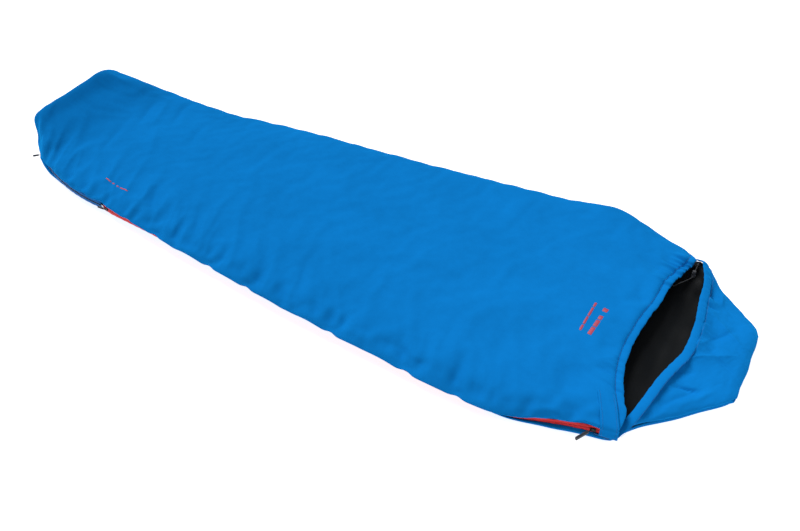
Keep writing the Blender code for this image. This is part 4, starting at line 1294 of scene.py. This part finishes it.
def build_hood():
    """The hood's upper quilt: a closed padded form from the rim to the crown."""
    rows = 56
    columns = sum(HOOD_SPANS) + 1
    end_x = HOOD_END
    outer = np.zeros((rows, columns, 3))
    share_y = np.linspace(0, 1, columns)
    rim_y = -0.325 + 0.640 * share_y
    rim = rim_edge(rim_y)
    rim_x = rim[:, 0] + 0.017
    table_x = np.linspace(0.905, end_x, 80)
    table = np.array([resample(hood_controls(x), HOOD_SPANS) for x in table_x])
    column = np.arange(columns)
    for row in range(rows):
        step = row / (rows - 1)
        xs = rim_x + (end_x - rim_x) * (1 - (1 - step) ** 1.25)
        place = np.clip((xs - 0.905) / (end_x - 0.905), 0, 1) * (len(table_x) - 1)
        i = np.clip(place.astype(int), 0, len(table_x) - 2)
        f = (place - i)[:, None]
        outer[row, :, 0] = xs
        outer[row, :, 1:] = table[i, column] * (1 - f) + table[i + 1, column] * f
    # the rim row sits against the drawcord channel
    pull = 1 - smooth_step(0.0, 0.30, np.linspace(0, 1, rows))[:, None]
    outer[..., 2] += (rim[:, 1][None, :] - 0.004 - outer[:1, :, 2]) * pull
    normals = grid_normals(outer)
    x = outer[..., 0]
    y = outer[..., 1]
    edge = smooth_step(0.0, 0.04, y - hood_near(x)) * smooth_step(0.0, 0.04, hood_far(x) - y)
    move = 0.0060 * wave(outer, (0.12, 0.16, 1.0), 2.7) * edge
    move += 0.0028 * wave(outer, (0.05, 0.06, 1.0), 7.7) * edge
    from_rim = x - rim_x[None, :]
    gather = wave(outer, (0.30, 0.024, 1.0), 14.5) + 0.5 * wave(outer, (0.2, 0.012, 1.0), 3.0)
    move += 0.0030 * gather * (1 - smooth_step(0.0, 0.045, from_rim))
    for start, end, height, width in HOOD_CREASES:
        move += height * crease(x, y, start, end, width) * edge
    outer = outer + normals * move[..., None]
    outer = outer + 0.8 * settle(outer, 0.45, np.full((rows, columns), 0.7), 20, 1.0, 2)
    inner = outer.copy()
    side = np.minimum(share_y, 1 - share_y)
    thick = 0.015 * smooth_step(0.0, 0.14, side)
    inner[..., 2] -= (0.0008 + thick)[None, :] * (1 - smooth_step(1.070, HOOD_END, x))
    inner[..., 2] = np.maximum(inner[..., 2], np.minimum(0.0195, outer[..., 2] - 0.0006))
    inner[..., 1] = inner[..., 1] * 0.992
    inner[0, :, 0] += 0.002
    inner[-1, :, 0] -= 0.003
    loop = np.concatenate([outer, inner[::-1]])
    total = len(loop)
    faces = grid_faces(total, columns, loop_rows=True)
    slots = []
    for row in range(total):
        slots += [1 if rows <= row < total - 1 else 0] * (columns - 1)
    for side_column in (0, columns - 1):
        for row in range(rows - 1):
            back = total - 1 - row
            faces.append(tuple(i * columns + side_column for i in (row, row + 1, back - 1, back)))
            slots.append(0)
    thing = make("hood_quilt", loop, faces, [BLUE_LOOK, LINING_LOOK], slots)
    mark_cloth(thing, loop[..., :2])
    outward(thing)
    subdivide(thing)
    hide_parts("hood_upper_shell", "hood_upper_insulation", "hood_upper_lining")
    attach(thing, "hood")
    return outer


# how the channel runs on past the rim's far end, from (0, 0, 0), as (share, x, y, z)
RIM_END = [
    (0.0, 0.0, 0.0, 0.0), (0.3, -0.003, 0.010, 0.001), (0.6, -0.012, 0.019, 0.000),
    (1.0, -0.028, 0.027, -0.006),
]


def build_rim():
    """The hood's drawcord channel: a soft flattened tube with gathers."""
    ys = np.linspace(-0.338, 0.292, 260)
    rim = rim_edge(ys)
    path = np.stack([rim[:, 0] + 0.011, ys, rim[:, 1] - 0.002], axis=1)
    turn = curve(RIM_END)(np.linspace(0.0, 1.0, 12))[1:]
    path = np.concatenate([path, path[-1] + turn])
    ys = np.concatenate([ys, np.full(len(turn), ys[-1])])
    run = np.stack([ys, ys * 0, ys * 0], axis=1)
    ruffle = wave(run, 0.022, 11.3) + 0.8 * wave(run, 0.011, 6.1)
    strong = 0.70 + 0.60 * smooth_step(0.12, 0.28, ys)
    lean = np.radians(18 * smooth_step(-0.10, 0.05, ys) + 14 * smooth_step(0.15, 0.28, ys))
    outlines = []
    sides = 20
    for i in range(len(ys)):
        half = 0.0115 * (1 + 0.12 * ruffle[i]) * (0.75 + 0.25 * smooth_step(-0.345, -0.28, ys[i]))
        thick = 0.0038 * (1 + 0.55 * ruffle[i] * strong[i])
        ring = []
        for k in range(sides):
            a = 2 * math.pi * k / sides
            c = math.cos(a) * half
            s = math.sin(a) * thick
            ring.append((c * math.cos(lean[i]) + s * math.sin(lean[i]), s * math.cos(lean[i]) - c * math.sin(lean[i])))
        outlines.append(ring)
    thing = tube("hood_drawcord_channel", path, outlines, [TRIM_LOOK])
    mark_cloth(thing, np.array([v.co[:2] for v in thing.data.vertices]))
    subdivide(thing)
    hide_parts("hood_channel", "hood_cord")
    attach(thing, "hood")
    seam = stitches("hood_channel_stitching", path + np.array([0.0125, 0.0, 0.0035]), THREAD_LOOK)
    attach(seam, "hood")
    return path


# ------------------------------------------------------- cord and cord lock
def round_tube(name, path, radius, look, sides=10):
    """A round tube along the path with domed ends."""
    bm = bmesh.new()
    path = [Vector(p) for p in path]
    first = (path[1] - path[0]).normalized()
    last = (path[-1] - path[-2]).normalized()
    rings = [(path[0] - first * radius * 0.6, 0.45)] + [(p, 1.0) for p in path] + [(path[-1] + last * radius * 0.6, 0.45)]
    loops = []
    for i, (point, size) in enumerate(rings):
        tangent = (rings[min(i + 1, len(rings) - 1)][0] - rings[max(i - 1, 0)][0]).normalized()
        side = tangent.cross(Vector((0.05, 0.02, 1.0))).normalized()
        lift = side.cross(tangent)
        turns = [2 * math.pi * k / sides for k in range(sides)]
        loops.append([
            bm.verts.new(point + side * (radius * size * math.cos(a)) + lift * (radius * size * math.sin(a)))
            for a in turns
        ])
    for lower, upper in zip(loops, loops[1:]):
        for k in range(sides):
            bm.faces.new((lower[k], lower[(k + 1) % sides], upper[(k + 1) % sides], upper[k]))
    bm.faces.new(loops[0][::-1])
    bm.faces.new(loops[-1])
    return from_bmesh(name, bm, look)


# the drawcord's free tail, from the hem channel through the cord lock to its knot
TAIL = [
    (0.0, 0.880, 0.176, 0.0560), (0.2, 0.8895, 0.190, 0.0585), (0.4, 0.9035, 0.208, 0.0620),
    (0.6, 0.9130, 0.226, 0.0638), (0.8, 0.9130, 0.250, 0.0642), (1.0, 0.9130, 0.279, 0.0645),
]
CORD_RADIUS = 0.0011


def build_cord(roll):
    """The hem's drawcord in its channel, its free tail, and the looks of the cord lock."""
    middle = roll.mean(axis=0)
    inside = middle[(middle[:, 1] > -0.315) & (middle[:, 1] < TAIL[0][2])]
    inside = np.concatenate([inside, [TAIL[0][1:]]])
    cord = round_tube("hem_drawcord", inside, CORD_RADIUS, CORD_LOOK)
    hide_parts("hem_cord")
    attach(cord, "flap")
    path = curve(TAIL)(np.linspace(0.0, 1.0, 60))
    tail = round_tube("hem_drawcord_tail", path, CORD_RADIUS, CORD_LOOK)
    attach(tail, "flap")
    for name, look in (
        ("hem_cord_end", CORD_LOOK), ("lock_barrel", PLASTIC_LOOK), ("lock_button", PLASTIC_LOOK),
        ("lock_spring", SPRING_LOOK), ("tab_hook_patch", HOOK_LOOK),
    ):
        NODES[name].data.materials.clear()
        NODES[name].data.materials.append(look)


# -------------------------------------------------------------- red marks
class Surface:
    """Finds the height of the cover's outside under a point."""

    def __init__(self, thing):
        shape = thing.evaluated_get(bpy.context.evaluated_depsgraph_get())
        self.tree = BVHTree.FromPolygons(
            [v.co.copy() for v in shape.data.vertices], [tuple(p.vertices) for p in shape.data.polygons]
        )

    def at(self, x, y):
        place, normal, _, _ = self.tree.ray_cast(Vector((x, y, 0.4)), Vector((0, 0, -1)))
        return place, normal


def thread_bar(surface, start, end, half, points, faces):
    """A raised bar of satin stitch on the cover from start to end."""
    start = Vector(start)
    end = Vector(end)
    along = (end - start).normalized()
    side = Vector((-along.y, along.x))
    steps = max(int((end - start).length / 0.004), 2)
    first = len(points)
    profile = ((-1.0, 0.0), (-0.8, 0.0007), (0.0, 0.0009), (0.8, 0.0007), (1.0, 0.0))
    for i in range(steps + 1):
        share = i / steps
        place = start + (end - start) * share
        end_drop = 0.0 if 0 < i < steps else 0.9
        for across, lift in profile:
            flat = place + side * (half * across)
            point, _ = surface.at(flat.x, flat.y)
            points.append((flat.x, flat.y, point.z + lift * (1 - end_drop) - (0.0002 if lift == 0 else 0.0)))
    count = len(profile)
    for i in range(steps):
        for k in range(count - 1):
            a = first + i * count + k
            faces.append((a, a + 1, a + count + 1, a + count))
    under = len(points)
    for i in range(steps + 1):
        for k in range(count):
            x, y, z = points[first + i * count + k]
            points.append((x, y, z - 0.0012))
    for i in range(steps):
        for k in range(count - 1):
            a = under + i * count + k
            faces.append((a, a + count, a + count + 1, a + 1))
    rim = list(range(count)) + [i * count + count - 1 for i in range(1, steps + 1)]
    rim += [steps * count + k for k in range(count - 2, -1, -1)] + [i * count for i in range(steps - 1, 0, -1)]
    for a, b in zip(rim, rim[1:] + rim[:1]):
        faces.append((first + a, under + a, under + b, first + b))


def build_marks(surface):
    """Two plain decorations of red bars: two short rows at the chest, one thin row by the foot."""
    rows = [
        ((0.734, -0.011), (0.733, -0.121), 0.0032, (0.16, 0.03, 0.30, 0.03, 0.26, 0.03, 0.19)),
        ((0.762, -0.050), (0.757, -0.124), 0.0056, (0.20, 0.04, 0.34, 0.04, 0.38)),
        ((0.764, -0.018), (0.762, -0.032), 0.0070, (1.0,)),
    ]
    foot = [((-0.741, -0.226), (-0.640, -0.240), 0.0022, (0.22, 0.06, 0.10, 0.10, 0.10, 0.06, 0.36))]
    for name, group in (("chest_mark", rows), ("foot_mark", foot)):
        points = []
        faces = []
        for start, end, half, pattern in group:
            start = Vector(start)
            end = Vector(end)
            total = sum(pattern)
            at = 0.0
            for i, share in enumerate(pattern):
                if i % 2 == 0:
                    a = start + (end - start) * (at / total)
                    b = start + (end - start) * ((at + share) / total)
                    thread_bar(surface, a, b, half, points, faces)
                at += share
        thing = make(name, np.array(points), faces, [MARK_LOOK])
        outward(thing)
        fold_with_flap(thing)


# ------------------------------------------------------------------- stage
def build_stage():
    bpy.ops.mesh.primitive_plane_add(size=14.0, location=(0.0, 0.0, -0.0006))
    floor = bpy.context.object
    floor.name = "studio_floor"
    look = new_material(
        "studio_paper", (0.60, 0.60, 0.60), 0.9, Specular_IOR_Level=0.1,
        Emission_Color=(1.0, 1.0, 1.0, 1.0), Emission_Strength=0.84,
    )
    place = node(look, "ShaderNodeTexCoord").outputs["Object"]
    bump(look, noise_of(look, place, 300.0), 0.0002, 0.05)
    floor.data.materials.append(look)
    world = bpy.data.worlds.new("studio")
    world.use_nodes = True
    world.node_tree.nodes["Background"].inputs["Color"].default_value = (1.0, 1.0, 1.0, 1.0)
    world.node_tree.nodes["Background"].inputs["Strength"].default_value = 0.30
    bpy.context.scene.world = world
    data = bpy.data.lights.new("window_light", "SUN")
    data.energy = 3.15
    data.angle = math.radians(32)
    lamp = bpy.data.objects.new("window_light", data)
    bpy.context.scene.collection.objects.link(lamp)
    lamp.rotation_euler = Vector((0.52, -0.22, -0.82)).to_track_quat("-Z", "Y").to_euler()
    data = bpy.data.lights.new("head_softbox", "AREA")
    data.shape = "SQUARE"
    data.size = 0.5
    data.spread = math.radians(70)
    data.energy = 0.8
    lamp = bpy.data.objects.new("head_softbox", data)
    bpy.context.scene.collection.objects.link(lamp)
    lamp.location = (1.85, -0.55, 1.05)
    lamp.rotation_euler = (Vector((1.06, -0.08, 0.03)) - lamp.location).to_track_quat("-Z", "Y").to_euler()
    bpy.context.scene.view_settings.view_transform = "Standard"


def build_camera():
    data = bpy.data.cameras.new("camera")
    data.lens = 36.43
    data.sensor_width = 36.0
    camera = bpy.data.objects.new("camera", data)
    bpy.context.scene.collection.objects.link(camera)
    target = Vector((0.2101, -0.0867, 0.03))
    azimuth = math.radians(30.43)
    elevation = math.radians(40.48)
    back = Vector((
        math.sin(azimuth) * math.cos(elevation), -math.cos(azimuth) * math.cos(elevation), math.sin(elevation),
    ))
    camera.location = target + back * 2.205
    camera.rotation_euler = (-back).to_track_quat("-Z", "Y").to_euler()
    bpy.context.scene.camera = camera


build_camera()
build_stage()
base = build_base()
cover, cover_outer, cover_roll = build_cover()
cover_surface = Surface(cover)
build_foot(cover_outer)
build_zips()
build_sliders()
build_tab()
hood_outer = build_hood()
rim_path = build_rim()
build_cord(cover_roll)
build_marks(cover_surface)
for seam_name, seam_path in (
    ("near_edge_stitching", cover_outer[:-1, 1]),
    ("far_edge_stitching", cover_outer[:-1, -2]),
    ("hem_channel_stitching", cover_outer[-1, 3:-3]),
):
    seam = stitches(seam_name, seam_path, THREAD_LOOK)
    fold_with_flap(seam)
fold_with_flap(cover)
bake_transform(base)
